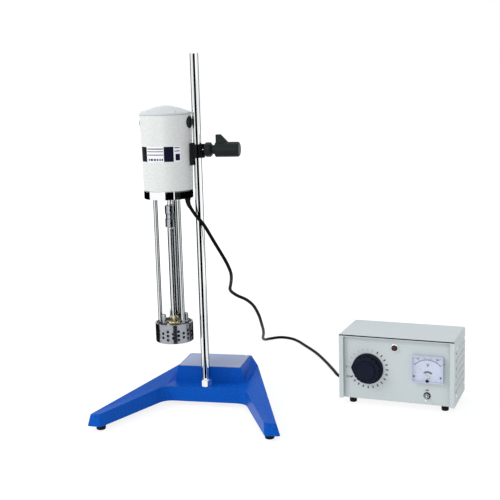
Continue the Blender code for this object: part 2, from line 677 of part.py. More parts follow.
def build_base(stand):
    casting = make_piece("base_casting", base_form(0, SKIRT_HEIGHT), "blue_enamel", stand)
    round_edges(casting, CASTING_ROUND)
    hollow = make_cutter("guide_hollow", base_form(CASTING_WALL, SKIRT_HEIGHT - OVERRUN), stand)
    round_edges(hollow, HOLLOW_ROUND, segments=1)
    cut(casting, hollow)

    pad_front = -LEDGE_FRONT + CASTING_ROUND
    pad = block((-COLUMN_PAD_WIDTH / 2, pad_front, COLUMN_PAD_BOTTOM),
                (COLUMN_PAD_WIDTH / 2, COLUMN_PAD_BACK, LEDGE_HEIGHT - PAD_SINK))
    fuse(casting, make_cutter("guide_column_pad", pad, stand))
    for name, (x, y, top) in foot_places().items():
        pillar = cylinder(FOOT_PAD_DIAMETER / 2, SKIRT_HEIGHT + FIT, top - PAD_SINK, FINE_COUNT)
        fuse(casting, make_cutter("guide_foot_pad_" + name, pillar, stand, (x, y, 0)))
    stem_top = SKIRT_HEIGHT + FOOT_STEM_LENGTH + FIT
    stem_hole = FOOT_STEM_DIAMETER / 2 + FIT
    stem_holes = [moved(cylinder(stem_hole, SKIRT_HEIGHT - OVERRUN, stem_top, FINE_COUNT), (x, y, 0))
                  for x, y, _ in foot_places().values()]
    bore = turned([(0, COLUMN_PAD_BOTTOM - OVERRUN),
                   (pocket_radius(), COLUMN_PAD_BOTTOM - OVERRUN),
                   (pocket_radius(), NUT_POCKET_TOP),
                   (SPIGOT_DIAMETER / 2 + FIT, NUT_POCKET_TOP),
                   (SPIGOT_DIAMETER / 2 + FIT, LEDGE_HEIGHT + OVERRUN),
                   (0, LEDGE_HEIGHT + OVERRUN)], SMALL_COUNT)
    cut(casting, make_cutter("guide_column_bore", merge(bore, *stem_holes), stand))

    for name, (x, y, _) in foot_places().items():
        radius = FOOT_DIAMETER / 2
        top = SKIRT_HEIGHT - FIT
        stem = FOOT_STEM_DIAMETER / 2
        profile = [(0, 0), (radius - OVERRUN, 0), (radius, top / 2), (radius - OVERRUN, top),
                   (stem, top), (stem, top + FOOT_STEM_LENGTH), (0, top + FOOT_STEM_LENGTH)]
        make_piece("stand_foot_" + name, turned(profile, FINE_COUNT), "black_rubber", stand, (x, y, 0))

    plate_low = BOSS_HEIGHT + FIT
    plate = prism(rounded_rectangle(2 * (BOSS_HALF_WIDTH - PLATE_MARGIN),
                                    BOSS_DEPTH - 2 * PLATE_MARGIN, PLATE_CORNER),
                  plate_low, plate_low + PLATE_THICKNESS)
    make_piece("name_plate", plate, "bare_plate", stand, (0, BOSS_FRONT + BOSS_DEPTH / 2, 0))


def pocket_radius():
    return NUT_FLATS / 2 / math.cos(math.pi / 6) + 2 * FIT


def build_column(stand):
    radius = COLUMN_DIAMETER / 2
    foot = LEDGE_HEIGHT + FIT
    spigot = SPIGOT_DIAMETER / 2
    profile = [(0, COLUMN_PAD_BOTTOM - OVERRUN), (spigot, COLUMN_PAD_BOTTOM - OVERRUN),
               (spigot, foot), (radius, foot), (radius, COLUMN_TOP - COLUMN_CHAMFER),
               (radius - COLUMN_CHAMFER, COLUMN_TOP), (0, COLUMN_TOP)]
    make_piece("column", turned(profile, MEDIUM_COUNT), "chrome", stand)
    collar = make_piece("column_collar", nut_solid(COLLAR_FLATS, foot, foot + COLLAR_HEIGHT,
                                                   COLLAR_CHAMFER), "chrome", stand)
    bore_through(collar, radius + FIT, foot, foot + COLLAR_HEIGHT, stand)
    nut_high = NUT_POCKET_TOP - FIT
    nut = make_piece("column_nut", nut_solid(NUT_FLATS, COLUMN_PAD_BOTTOM, nut_high, OVERRUN),
                     "ground_steel", stand)
    bore_through(nut, spigot + FIT, COLUMN_PAD_BOTTOM, nut_high, stand)


# Heights along the motor axis

def ring_top():
    return STATOR_MOUTH + STATOR_HEIGHT


def top_plate_top():
    return ring_top() - PLATE_RECESS


def end_ring_low():
    return top_plate_top() + ROD_FREE_LENGTH


def housing_low():
    return end_ring_low() + END_RING_HEIGHT + FIT


def housing_high():
    return housing_low() + HOUSING_HEIGHT


def lid_low():
    return housing_high() + FIT


def housing_radius(height):
    share = (height - housing_low()) / HOUSING_HEIGHT
    return (HOUSING_BOTTOM_DIAMETER + share * (HOUSING_TOP_DIAMETER - HOUSING_BOTTOM_DIAMETER)) / 2


def brush_height():
    return housing_high() - BRUSH_DROP


def build_working_head(head):
    outer = STATOR_DIAMETER / 2
    inner = outer - STATOR_WALL
    seat = top_plate_top() - TOP_PLATE_THICKNESS - FIT
    step = inner - SEAT_STEP_WIDTH
    profile = [(inner, STATOR_MOUTH), (outer, STATOR_MOUTH), (outer, ring_top()),
               (inner, ring_top()), (inner, seat), (step, seat), (step, seat - SEAT_STEP_HEIGHT),
               (inner, seat - SEAT_STEP_HEIGHT - SEAT_STEP_WIDTH)]
    facet_turn = STATOR_HOLE_TURN + math.pi / STATOR_HOLE_COLUMNS
    ring_form = spun(turned(profile, STATOR_HOLE_COLUMNS), facet_turn)
    ring = make_piece("stator_ring", ring_form, "stainless", head)
    holes = []
    for column in range(STATOR_HOLE_COLUMNS):
        rows = 3 if column % 2 else 2
        lowest = STATOR_HOLE_LOWEST + (0 if rows == 3 else STATOR_HOLE_PITCH / 2)
        for row in range(rows):
            hole = cylinder(STATOR_HOLE_DIAMETER / 2, inner - OVERRUN, outer + OVERRUN, 8, "X")
            moved(hole, (0, 0, STATOR_MOUTH + lowest + row * STATOR_HOLE_PITCH))
            holes.append(spun(hole, STATOR_HOLE_TURN + math.tau * column / STATOR_HOLE_COLUMNS))
    cut(ring, make_cutter("guide_stator_holes", merge(*holes), head))

    plate_low = top_plate_top() - TOP_PLATE_THICKNESS
    bush_radius = BUSH_DIAMETER / 2
    plate_form = tube(bush_radius + FIT, inner - FIT, plate_low, top_plate_top(),
                      STATOR_HOLE_COLUMNS)
    plate = make_piece("head_plate", spun(plate_form, facet_turn), "stainless", head)
    openings = []
    for i in range(FLOW_SLOT_COUNT):
        start = FLOW_SLOT_TURN + math.tau * i / FLOW_SLOT_COUNT - FLOW_SLOT_SPAN / 2
        arc = [start + FLOW_SLOT_SPAN * k / 5 for k in range(6)]
        outline = [on_circle(FLOW_SLOT_OUTER, a) for a in arc]
        outline += [on_circle(FLOW_SLOT_INNER, a) for a in reversed(arc)]
        openings.append(prism([(p.x, p.y) for p in outline], plate_low - OVERRUN,
                              top_plate_top() + OVERRUN))
    for angle in ROD_ANGLES:
        hole = cylinder(ROD_SPIGOT_DIAMETER / 2 + FIT, plate_low - OVERRUN,
                        top_plate_top() + OVERRUN, FINE_COUNT)
        openings.append(moved(hole, on_circle(ROD_CIRCLE_RADIUS, angle)))
    for angle in CAP_NUT_ANGLES:
        hole = cylinder(CAP_NUT_SHANK_DIAMETER / 2 + FIT, plate_low - OVERRUN,
                        top_plate_top() + OVERRUN, FINE_COUNT)
        openings.append(moved(hole, on_circle(NUT_CIRCLE_RADIUS, angle)))
    cut(plate, make_cutter("guide_plate_holes", merge(*openings), head))

    shaft = DRIVE_SHAFT_DIAMETER / 2
    flange = BUSH_FLANGE_DIAMETER / 2
    top = top_plate_top()
    bush = [(shaft + RUN, plate_low), (bush_radius, plate_low), (bush_radius, top + FIT),
            (flange, top + FIT), (flange, top + FIT + BUSH_FLANGE_THICKNESS),
            (bush_radius, top + FIT + BUSH_FLANGE_THICKNESS + OVERRUN),
            (bush_radius, top + BUSH_RISE), (shaft + RUN, top + BUSH_RISE)]
    bush_form = spun(turned(bush, STATOR_HOLE_COLUMNS), facet_turn)
    make_piece("head_bush", bush_form, "brass", head)

    for number, angle in enumerate(CAP_NUT_ANGLES, 1):
        low = top + FIT
        crown = CAP_NUT_FLATS / 2 - OVERRUN / 2
        shank = CAP_NUT_SHANK_DIAMETER / 2
        nut = nut_solid(CAP_NUT_FLATS, low, low + CAP_NUT_HEX_HEIGHT, OVERRUN)
        place = on_circle(NUT_CIRCLE_RADIUS, angle)
        piece = make_piece("cap_nut_%d" % number, nut, "stainless", head, place)
        high = low + CAP_NUT_HEIGHT
        straight = high - crown
        dome = [(crown * math.cos(a), straight + crown * math.sin(a))
                for a in (math.pi / 8 * k for k in range(4))]
        neck_high = low + CAP_NUT_HEX_HEIGHT
        core = [(0, plate_low + FIT), (shank, plate_low + FIT), (shank, low + OVERRUN),
                (crown - OVERRUN, low + OVERRUN), (crown - OVERRUN, neck_high),
                (crown, neck_high + OVERRUN)] + dome + [(0, high)]
        fuse(piece, make_cutter("guide_cap_nut_%d" % number, turned(core, FINE_COUNT), head, place))

    radius = ROD_DIAMETER / 2
    spigot = ROD_SPIGOT_DIAMETER / 2
    for number, angle in enumerate(ROD_ANGLES, 1):
        rod = [(0, plate_low + FIT), (spigot, plate_low + FIT), (spigot, top + FIT),
               (radius, top + FIT), (radius, end_ring_low() - FIT),
               (spigot, end_ring_low() - FIT), (spigot, end_ring_low() + END_RING_FLOOR - FIT),
               (0, end_ring_low() + END_RING_FLOOR - FIT)]
        make_piece("support_rod_%d" % number, turned(rod, SMALL_COUNT), "ground_steel", head,
                   on_circle(ROD_CIRCLE_RADIUS, angle))


def build_drive(head):
    shaft = DRIVE_SHAFT_DIAMETER / 2
    hub = ROTOR_HUB_DIAMETER / 2
    low = STATOR_MOUTH + ROTOR_LIFT
    high = low + ROTOR_HEIGHT
    disc = ROTOR_TIP_RADIUS - OVERRUN
    disc_top = low + ROTOR_DISC_THICKNESS
    profile = [(shaft + FIT, low), (disc, low), (disc, disc_top), (hub, disc_top), (hub, high),
               (shaft + FIT, high)]
    rotor = make_piece("rotor_blade", turned(profile, MEDIUM_COUNT), "stainless", head)
    for i in range(ROTOR_BLADE_COUNT):
        half = ROTOR_BLADE_THICKNESS / 2
        blade = prism([(hub - OVERRUN, -half), (ROTOR_TIP_RADIUS, -half - half),
                       (ROTOR_TIP_RADIUS, 0), (hub - OVERRUN, half)], low + half, high - half)
        turn = math.tau * i / ROTOR_BLADE_COUNT
        fuse(rotor, make_cutter("guide_rotor_blade_%d" % i, spun(blade, turn), head))

    coupling_high = end_ring_low() - COUPLING_DROP
    coupling_low = coupling_high - COUPLING_LENGTH
    middle = (coupling_low + coupling_high) / 2
    motor_radius = MOTOR_SHAFT_DIAMETER / 2
    profile = [(0, low), (shaft, low), (shaft, middle - FIT), (0, middle - FIT)]
    make_piece("drive_shaft", turned(profile, SMALL_COUNT), "ground_steel", head)
    outer = COUPLING_DIAMETER / 2
    neck = outer - COUPLING_NECK
    ends = COUPLING_LENGTH / 8
    coupling = [(shaft + FIT, coupling_low), (neck, coupling_low), (outer, coupling_low + COUPLING_NECK),
                (outer, middle - ends), (neck, middle - ends + COUPLING_NECK),
                (neck, middle + ends - COUPLING_NECK), (outer, middle + ends),
                (outer, coupling_high - COUPLING_NECK), (neck, coupling_high),
                (motor_radius + FIT, coupling_high), (motor_radius + FIT, middle),
                (shaft + FIT, middle)]
    make_piece("shaft_coupling", turned(coupling, SMALL_COUNT), "stainless", head)

    floor = end_ring_low() + END_RING_FLOOR
    core = CORE_DIAMETER / 2
    core_low = floor + CORE_BASE
    shaft_top = lid_low() + upper_bearing_lift() + UPPER_BEARING_WIDTH
    armature = [(0, middle + FIT), (motor_radius, middle + FIT), (motor_radius, core_low),
                (core, core_low), (core, core_low + CORE_LENGTH),
                (motor_radius, core_low + CORE_LENGTH), (motor_radius, shaft_top), (0, shaft_top)]
    make_piece("armature", turned(armature, SMALL_COUNT), "iron_winding", head)
    commutator_high = brush_height() + COMMUTATOR_LENGTH / 3
    commutator = tube(motor_radius + FIT, COMMUTATOR_DIAMETER / 2,
                      commutator_high - COMMUTATOR_LENGTH, commutator_high, SMALL_COUNT)
    make_piece("commutator", commutator, "copper", head)

    fan_low = floor + FAN_BASE
    fan_radius = FAN_DIAMETER / 2
    fan_hub = FAN_HUB_DIAMETER / 2
    fan_profile = [(motor_radius + FIT, fan_low), (fan_radius, fan_low),
                   (fan_radius, fan_low + FAN_DISC), (fan_hub, fan_low + FAN_DISC),
                   (fan_hub, fan_low + FAN_DEPTH), (motor_radius + FIT, fan_low + FAN_DEPTH)]
    fan = make_piece("cooling_fan", turned(fan_profile, SMALL_COUNT), "black_plastic", head)
    for i in range(FAN_BLADES):
        half = FAN_DISC / 2
        blade = block((fan_hub - OVERRUN, -half, fan_low + half),
                      (fan_radius - OVERRUN, half, fan_low + FAN_DEPTH - half))
        fuse(fan, make_cutter("guide_fan_blade_%d" % i, spun(blade, math.tau * i / FAN_BLADES), head))


def upper_bearing_lift():
    return LID_RIM / 2


def build_motor(head):
    low = end_ring_low()
    floor = low + END_RING_FLOOR
    outer = END_RING_DIAMETER / 2
    inner = outer - END_RING_WALL
    top = low + END_RING_HEIGHT
    spigot = HOUSING_BORE_DIAMETER / 2 - FIT
    shaft_hole = MOTOR_SHAFT_DIAMETER / 2 + OVERRUN
    bearing = BEARING_DIAMETER / 2
    hub = bearing + BEARING_HUB_WALL
    hub_top = floor + BEARING_WIDTH + FIT
    profile = [(shaft_hole, low), (outer - OVERRUN, low), (outer, low + OVERRUN), (outer, top),
               (spigot, top), (spigot, top + RING_SPIGOT_HEIGHT),
               (inner, top + RING_SPIGOT_HEIGHT), (inner, floor), (hub, floor), (hub, hub_top),
               (bearing + FIT, hub_top), (bearing + FIT, floor), (shaft_hole, floor)]
    ring = make_piece("motor_end_ring", turned(profile, LARGE_COUNT), "chrome", head)
    holes = [moved(cylinder(ROD_SPIGOT_DIAMETER / 2 + FIT, low - OVERRUN, floor + OVERRUN, FINE_COUNT),
                   on_circle(ROD_CIRCLE_RADIUS, a)) for a in ROD_ANGLES]
    holes.append(moved(cylinder(GLAND_STEM_DIAMETER / 2 + FIT, low - OVERRUN, floor + OVERRUN, SMALL_COUNT),
                       on_circle(GLAND_CIRCLE_RADIUS, GLAND_ANGLE)))
    holes += [moved(cylinder(AIR_HOLE_DIAMETER / 2, low - OVERRUN, floor + OVERRUN, SMALL_COUNT),
                    on_circle(AIR_HOLE_CIRCLE_RADIUS, a)) for a in AIR_HOLE_ANGLES]
    cut(ring, make_cutter("guide_ring_holes", merge(*holes), head))
    make_piece("lower_bearing", tube(MOTOR_SHAFT_DIAMETER / 2 + RUN, bearing, floor + FIT,
                                     floor + BEARING_WIDTH, SMALL_COUNT), "ground_steel", head)

    bore = HOUSING_BORE_DIAMETER / 2
    shell = [(bore, housing_low()), (HOUSING_BOTTOM_DIAMETER / 2, housing_low()),
             (HOUSING_TOP_DIAMETER / 2, housing_high()), (bore, housing_high())]
    housing = make_piece("motor_housing", turned(shell, LARGE_COUNT), "white_enamel", head)
    commutator = COMMUTATOR_DIAMETER / 2
    boss = BRUSH_BOSS_DIAMETER / 2
    wall = HOUSING_TOP_DIAMETER / 2
    cap_seat = wall - BRUSH_CAP_DEPTH
    cap = BRUSH_CAP_DIAMETER / 2
    brush_bore = BRUSH_SIDE / math.sqrt(2) + FIT
    for side, turn in (("right", BRUSH_TURN), ("left", BRUSH_TURN + math.pi)):
        height = (0, 0, brush_height())
        tube_body = cylinder(boss, commutator + OVERRUN * 2, bore + OVERRUN, FINE_COUNT, "X")
        seat_body = cylinder(cap + BRUSH_SEAT_WALL, cap_seat - BRUSH_SEAT_WALL, bore + OVERRUN,
                             SMALL_COUNT, "X")
        for label, body in (("tube", tube_body), ("seat", seat_body)):
            body = spun(moved(body, height), turn)
            fuse(housing, make_cutter("guide_brush_%s_%s" % (label, side), body, head))
        well = turned([(0, commutator), (brush_bore, commutator), (brush_bore, cap_seat),
                       (cap + FIT, cap_seat), (cap + FIT, wall + BRUSH_CAP_DEPTH),
                       (0, wall + BRUSH_CAP_DEPTH)], SMALL_COUNT, "X")
        cut(housing, make_cutter("guide_brush_well_" + side, spun(moved(well, height), turn), head))
        face = wall + BRUSH_CAP_PROUD
        crown = [(0, cap_seat + FIT), (cap, cap_seat + FIT), (cap, wall), (cap - OVERRUN, face),
                 (0, face)]
        cap_form = spun(moved(turned(crown, SMALL_COUNT, "X"), height), turn)
        cap_piece = make_piece("brush_cap_" + side, cap_form, "black_plastic", head)
        slot = block((face - BRUSH_SLOT_DEPTH, -cap - OVERRUN, brush_height() - BRUSH_CAP_SLOT / 2),
                     (face + OVERRUN, cap + OVERRUN, brush_height() + BRUSH_CAP_SLOT / 2))
        cut(cap_piece, make_cutter("guide_cap_slot_" + side, spun(slot, turn), head))
        half = BRUSH_SIDE / 2
        brush = block((commutator + RUN, -half, brush_height() - half),
                      (cap_seat, half, brush_height() + half))
        make_piece("carbon_brush_" + side, spun(brush, turn), "carbon", head, smooth=False)

    field_low = floor + CORE_BASE + (CORE_LENGTH - FIELD_LENGTH) / 2
    field = tube(CORE_DIAMETER / 2 + FIELD_AIR_GAP, bore - FIT, field_low,
                 field_low + FIELD_LENGTH, LARGE_COUNT)
    make_piece("field_stator", field, "iron_winding", head)

    rim = LID_DIAMETER / 2
    base = lid_low()
    shoulder = base + LID_RIM
    dome = [(rim * share, shoulder + LID_RISE * (1 - share ** LID_DOME_SHARE))
            for share in (k / 5 for k in range(5))]
    lip = rim - OVERRUN / 2
    upper = UPPER_BEARING_DIAMETER / 2
    bearing_low = base + upper_bearing_lift()
    bearing_high = bearing_low + UPPER_BEARING_WIDTH + FIT
    profile = dome + [(lip, shoulder + OVERRUN / 2), (rim, shoulder), (rim, base), (bore - FIT, base),
                      (bore - FIT, base - LID_SPIGOT), (upper + FIT, base - LID_SPIGOT),
                      (upper + FIT, bearing_high), (0, bearing_high)]
    make_piece("motor_lid", turned(profile, LARGE_COUNT), "white_enamel", head)
    make_piece("upper_bearing", tube(MOTOR_SHAFT_DIAMETER / 2 + RUN, upper, bearing_low,
                                     bearing_high - FIT, SMALL_COUNT), "ground_steel", head)


def gland_direction(share):
    """Heading of the gland's centre line at a share of its bend."""
    bend = GLAND_BEND * share
    return on_circle(math.sin(bend), GLAND_HEADING) - Vector((0, 0, math.cos(bend)))


def gland_path():
    """Centre line of the flexible lead gland under the motor, from its flange to its tip."""
    start = on_circle(GLAND_CIRCLE_RADIUS, GLAND_ANGLE)
    start.z = end_ring_low() - FIT - GLAND_FLANGE_THICKNESS
    points = [start]
    steps = 5
    for i in range(steps):
        stride = gland_direction((i + 1 / 2) / steps)
        points.append(points[-1] + stride * GLAND_LENGTH / steps)
    return points


def build_motor_gland(head):
    path = gland_path()
    start = path[0]
    stem = GLAND_STEM_DIAMETER / 2
    flange = GLAND_FLANGE_DIAMETER / 2
    tip = GLAND_TIP_DIAMETER / 2
    under = end_ring_low() - FIT
    stem_top = end_ring_low() + END_RING_FLOOR
    rise = Vector((0, 0, 1))
    column = [start + rise * (stem_top - start.z), start + rise * (under - start.z),
              start + rise * (under - start.z), start, start]
    radii = [stem, stem, flange, flange, stem + OVERRUN]
    rings = []
    steps = FINE_COUNT
    for point, radius in zip(column, radii):
        rings.append([point + on_circle(radius, -math.tau * k / steps) for k in range(steps)])
    for i, point in enumerate(path[1:], 1):
        share = i / (len(path) - 1)
        radius = stem + OVERRUN + (tip - stem - OVERRUN) * share
        tilt = Matrix.Rotation(GLAND_BEND * share, 3, on_circle(1, GLAND_HEADING - math.pi / 2))
        rings.append([point + tilt @ on_circle(radius, -math.tau * k / steps) for k in range(steps)])
    make_piece("motor_gland", loft(rings), "black_rubber", head)


def build_clamp(head, column_axis):
    z = CLAMP_HEIGHT
    bore = COLUMN_DIAMETER / 2 + FIT
    liner = bore + LINER_WALL
    low = z - BRACKET_BARREL_BOTTOM
    high = z + BRACKET_BARREL_TOP
    liner_piece = make_piece("clamp_liner", tube(bore, liner, low, high, MEDIUM_COUNT), "nylon",
                             column_axis)
    gap = block((-LINER_GAP_WIDTH / 2, -liner - OVERRUN, low - OVERRUN),
                (LINER_GAP_WIDTH / 2, 0, high + OVERRUN))
    cut(liner_piece, make_cutter("guide_liner_gap", gap, column_axis))

    barrel = BRACKET_BARREL_DIAMETER / 2
    face = -BRACKET_FLANGE_FACE
    deep = -HEAD_OFFSET + housing_radius(z) - CASTING_ROUND
    half = BRACKET_FLANGE_WIDTH / 2
    flange_low = z - BRACKET_FLANGE_BOTTOM
    flange_high = z + BRACKET_FLANGE_TOP
    flange = block((deep - half / 4, -half, flange_low), (face, half, flange_high))
    bracket = make_piece("clamp_bracket", flange, "black_enamel", column_axis)
    round_edges(bracket, BRACKET_ROUND)
    web_half = BRACKET_WEB_WIDTH / 2
    web = loft([[(face - OVERRUN, -web_half, flange_low + CASTING_WALL),
                 (face - OVERRUN, web_half, flange_low + CASTING_WALL),
                 (face - OVERRUN, web_half, flange_high - OVERRUN),
                 (face - OVERRUN, -web_half, flange_high - OVERRUN)],
                [(0, -web_half, low), (0, web_half, low), (0, web_half, high - LINER_WALL),
                 (0, -web_half, high - LINER_WALL)]])
    fuse(bracket, make_cutter("guide_bracket_web", web, column_axis))
    fuse(bracket, make_cutter("guide_bracket_barrel", cylinder(barrel, low, high), column_axis))
    bore_cut = cylinder(liner + FIT, flange_low - OVERRUN, flange_high + OVERRUN)
    mouth = block((BRACKET_MOUTH_SHIFT - BRACKET_MOUTH_WIDTH / 2, -barrel - OVERRUN, flange_low - OVERRUN),
                  (BRACKET_MOUTH_SHIFT + BRACKET_MOUTH_WIDTH / 2, 0, flange_high + OVERRUN))
    cut(bracket, make_cutter("guide_bracket_bore", bore_cut, column_axis))
    cut(bracket, make_cutter("guide_bracket_mouth", mouth, column_axis))
    seat = turned([(0, housing_low()), (housing_radius(housing_low()) + FIT, housing_low()),
                   (housing_radius(housing_high()) + FIT, housing_high()), (0, housing_high())],
                  LARGE_COUNT)
    cut(bracket, make_cutter("guide_bracket_seat", seat, head))
    stud = STUD_DIAMETER / 2
    stud_hole = moved(cylinder(stud + FIT, liner - OVERRUN / 2, barrel + OVERRUN, FINE_COUNT, "X"),
                      (0, 0, z))
    cut(bracket, make_cutter("guide_stud_hole", stud_hole, column_axis))
    window = block((liner / 2, -barrel - OVERRUN, z - STUD_WINDOW_HALF_HEIGHT),
                   (barrel + OVERRUN, 0, z + STUD_WINDOW_HALF_HEIGHT))
    cut(bracket, make_cutter("guide_stud_window", window, column_axis))

    axis = make_empty("clamp_screw_axis", (0, 0, z), column_axis)
    nut_low = barrel + LOCK_NUT_GAP
    nut_high = nut_low + LOCK_NUT_LENGTH
    nut = nut_solid(LOCK_NUT_DIAMETER * math.cos(math.pi / LOCK_NUT_SIDES), nut_low, nut_high,
                    LOCK_NUT_CHAMFER * 2, LOCK_NUT_SIDES, "X")
    nut = make_piece("clamp_lock_nut", nut, "black_plastic", axis)
    bore_through(nut, stud + RUN, nut_low, nut_high, axis, "X")
    neck = NECK_DIAMETER / 2
    grip = HANDLE_DIAMETER / 2
    start = nut_high + LOCK_NUT_GAP
    body_start = start + NECK_LENGTH
    end = body_start + HANDLE_LENGTH
    hole_end = body_start + STUD_GRIP + FIT
    rounding = [(grip - HANDLE_ROUND + HANDLE_ROUND * math.cos(a),
                 end - HANDLE_ROUND + HANDLE_ROUND * math.sin(a))
                for a in (math.pi / 2 * k / 3 for k in range(4))]
    profile = [(stud + FIT, start), (neck, start), (neck, body_start), (grip - OVERRUN, body_start),
               (grip, body_start + OVERRUN)] + rounding + [(0, end), (0, hole_end),
                                                           (stud + FIT, hole_end)]
    handle = make_piece("clamp_handle", handle_turned(profile), "black_plastic", axis)
    fin_low = grip / 2
    fin = bmesh.new()
    outline = [(body_start + OVERRUN, fin_low), (body_start + OVERRUN, FIN_HEIGHT),
               (body_start + FIN_TOP_LENGTH, FIN_HEIGHT), (body_start + FIN_FOOT_LENGTH, grip),
               (body_start + FIN_FOOT_LENGTH, fin_low)]
    face_low = fin.faces.new([fin.verts.new((x, -FIN_THICKNESS / 2, h)) for x, h in outline])
    grown = bmesh.ops.extrude_face_region(fin, geom=[face_low])
    bmesh.ops.translate(fin, vec=(0, FIN_THICKNESS, 0),
                        verts=[v for v in grown["geom"] if isinstance(v, bmesh.types.BMVert)])
    bmesh.ops.recalc_face_normals(fin, faces=fin.faces)
    fin_guide = make_cutter("guide_handle_fin", fin, axis)
    round_edges(fin_guide, BRACKET_ROUND)
    fuse(handle, fin_guide)
    stud_piece = cylinder(stud, liner + FIT, body_start + STUD_GRIP, FINE_COUNT, "X")
    make_piece("clamp_stud", stud_piece, "chrome", axis)


def handle_turned(profile):
    """A turned shape with a blind bore: its profile touches the axis only at the far end."""
    bm = bmesh.new()
    points = [bm.verts.new((radius, 0, height)) for radius, height in profile]
    count = len(points)
    edges = []
    for i in range(count):
        j = (i + 1) % count
        if profile[i][0] == 0 and profile[j][0] == 0:
            continue
        edges.append(bm.edges.new((points[i], points[j])))
    bmesh.ops.spin(bm, geom=points + edges, cent=(0, 0, 0), axis=(0, 0, 1),
                   angle=math.tau, steps=MEDIUM_COUNT, use_duplicate=False)
    bmesh.ops.remove_doubles(bm, verts=bm.verts, dist=SEAM)
    bmesh.ops.recalc_face_normals(bm, faces=bm.faces)
    bmesh.ops.rotate(bm, verts=bm.verts, cent=(0, 0, 0), matrix=AXIS_TURN["X"])
    return bm


# Control box. Local frame: x to the right, y to the back, z up from the floor.

def box_low():
    return BOX_FOOT_HEIGHT + FIT


def box_front():
    return -BOX_DEPTH / 2


def panel_front():
    return box_front() + PANEL_RECESS


def panel_back():
    return panel_front() + PANEL_THICKNESS


def rear_face():
    return BOX_DEPTH / 2 - REAR_INSET


def build_box_shell(box):
    low = box_low()
    high = low + BOX_HEIGHT
    half = BOX_WIDTH / 2
    front = box_front()
    back = BOX_DEPTH / 2
    steps = 4
    outline = [(-half, low)]
    for sign in (-1, 1):
        for k in range(steps + 1):
            a = math.pi / 2 * (k / steps if sign < 0 else 1 - k / steps)
            outline.append((sign * (half - COVER_ROUND + COVER_ROUND * math.cos(a)),
                            high - COVER_ROUND + COVER_ROUND * math.sin(a)))
    outline.append((half, low))
    cover = make_piece("box_cover", extruded_back(outline, front, back), "grey_enamel", box)
    inner = half - SHEET
    inner_high = high - SHEET
    cavity = block((-inner, front + SHEET, low - OVERRUN), (inner, back + OVERRUN, inner_high))
    window = block((-half + FRONT_LIP, front - OVERRUN, low - OVERRUN),
                   (half - FRONT_LIP, front + SHEET + OVERRUN, high - FRONT_LIP))
    cut(cover, make_cutter("guide_cover_cavity", cavity, box))
    cut(cover, make_cutter("guide_cover_window", window, box))
    slots = []
    for side in (-1, 1):
        for i in range(LOUVRE_COUNT):
            z = low + LOUVRE_FIRST + i * LOUVRE_PITCH
            slots.append(block((side * half - SHEET * 2, -LOUVRE_LENGTH / 2, z),
                               (side * half + SHEET * 2, LOUVRE_LENGTH / 2, z + LOUVRE_HEIGHT)))
    cut(cover, make_cutter("guide_louvres", merge(*slots), box))

    tray = inner - FIT
    rear = rear_face()
    top = inner_high - FIT
    lip = panel_back() + FIT
    side_view = [(lip, low), (rear, low), (rear, top), (rear - SHEET, top),
                 (rear - SHEET, low + SHEET), (lip + SHEET, low + SHEET),
                 (lip + SHEET, low + FRONT_LIP), (lip, low + FRONT_LIP)]
    chassis = make_piece("box_chassis", extruded_across(side_view, -tray, tray), "zinc_sheet", box,
                         smooth=False)
    rear_holes = merge(
        block((INLET_X - INLET_BODY_WIDTH / 2 - FIT, rear - SHEET - OVERRUN,
               low + INLET_Z - INLET_BODY_HEIGHT / 2 - FIT),
              (INLET_X + INLET_BODY_WIDTH / 2 + FIT, rear + OVERRUN,
               low + INLET_Z + INLET_BODY_HEIGHT / 2 + FIT)),
        moved(cylinder(BOX_GLAND_STEM_DIAMETER / 2 + FIT, rear - SHEET - OVERRUN, rear + OVERRUN,
                       SMALL_COUNT, "Y"), (BOX_GLAND_X, 0, low + BOX_GLAND_Z)))
    cut(chassis, make_cutter("guide_rear_holes", rear_holes, box))

    panel = block((-tray, panel_front(), low), (tray, panel_back(), top))
    panel_piece = make_piece("front_panel", panel, "grey_enamel", box, smooth=False)
    bores = ((KNOB_X, KNOB_Z, VARIAC_SHAFT_DIAMETER / 2 + OVERRUN),
             (LAMP_X, LAMP_Z, LAMP_BARREL_DIAMETER / 2 + FIT),
             (METER_X, METER_Z, METER_BARREL_DIAMETER / 2 + FIT),
             (TOGGLE_X, TOGGLE_Z, TOGGLE_BUSH_DIAMETER / 2 + FIT))
    cutters = [moved(cylinder(r, panel_front() - OVERRUN, panel_back() + OVERRUN, SMALL_COUNT, "Y"),
                     (x, 0, low + z)) for x, z, r in bores]
    cut(panel_piece, make_cutter("guide_panel_bores", merge(*cutters), box))

    foot = BOX_FOOT_DIAMETER / 2
    stem = BOX_FOOT_STEM / 2
    for name, sx, sy in (("front_left", -1, -1), ("front_right", 1, -1),
                         ("rear_left", -1, 1), ("rear_right", 1, 1)):
        x = sx * (half - BOX_FOOT_INSET_X)
        y = sy * (BOX_DEPTH / 2 - BOX_FOOT_INSET_Y)
        profile = [(0, 0), (foot - OVERRUN, 0), (foot, OVERRUN * 2), (foot, BOX_FOOT_HEIGHT),
                   (0, BOX_FOOT_HEIGHT)]
        make_piece("box_foot_" + name, turned(profile, FINE_COUNT), "black_rubber", box, (x, y, 0))


def extruded_back(outline, front, back):
    """An outline of (x, z) points extruded from front to back."""
    return loft([[(x, front, z) for x, z in outline], [(x, back, z) for x, z in outline]])


def extruded_across(outline, left, right):
    """An outline of (y, z) points extruded from left to right."""
    return loft([[(left, y, z) for y, z in outline], [(right, y, z) for y, z in outline]])


def knob_ring(radius, flutes, depth, y, steps=KNOB_FLUTES * 2):
    ring = []
    for k in range(steps):
        a = math.tau * k / steps
        r = radius - depth * (1 - math.cos(a * flutes)) / 2
        ring.append((r * math.cos(a), y, r * math.sin(a)))
    return ring


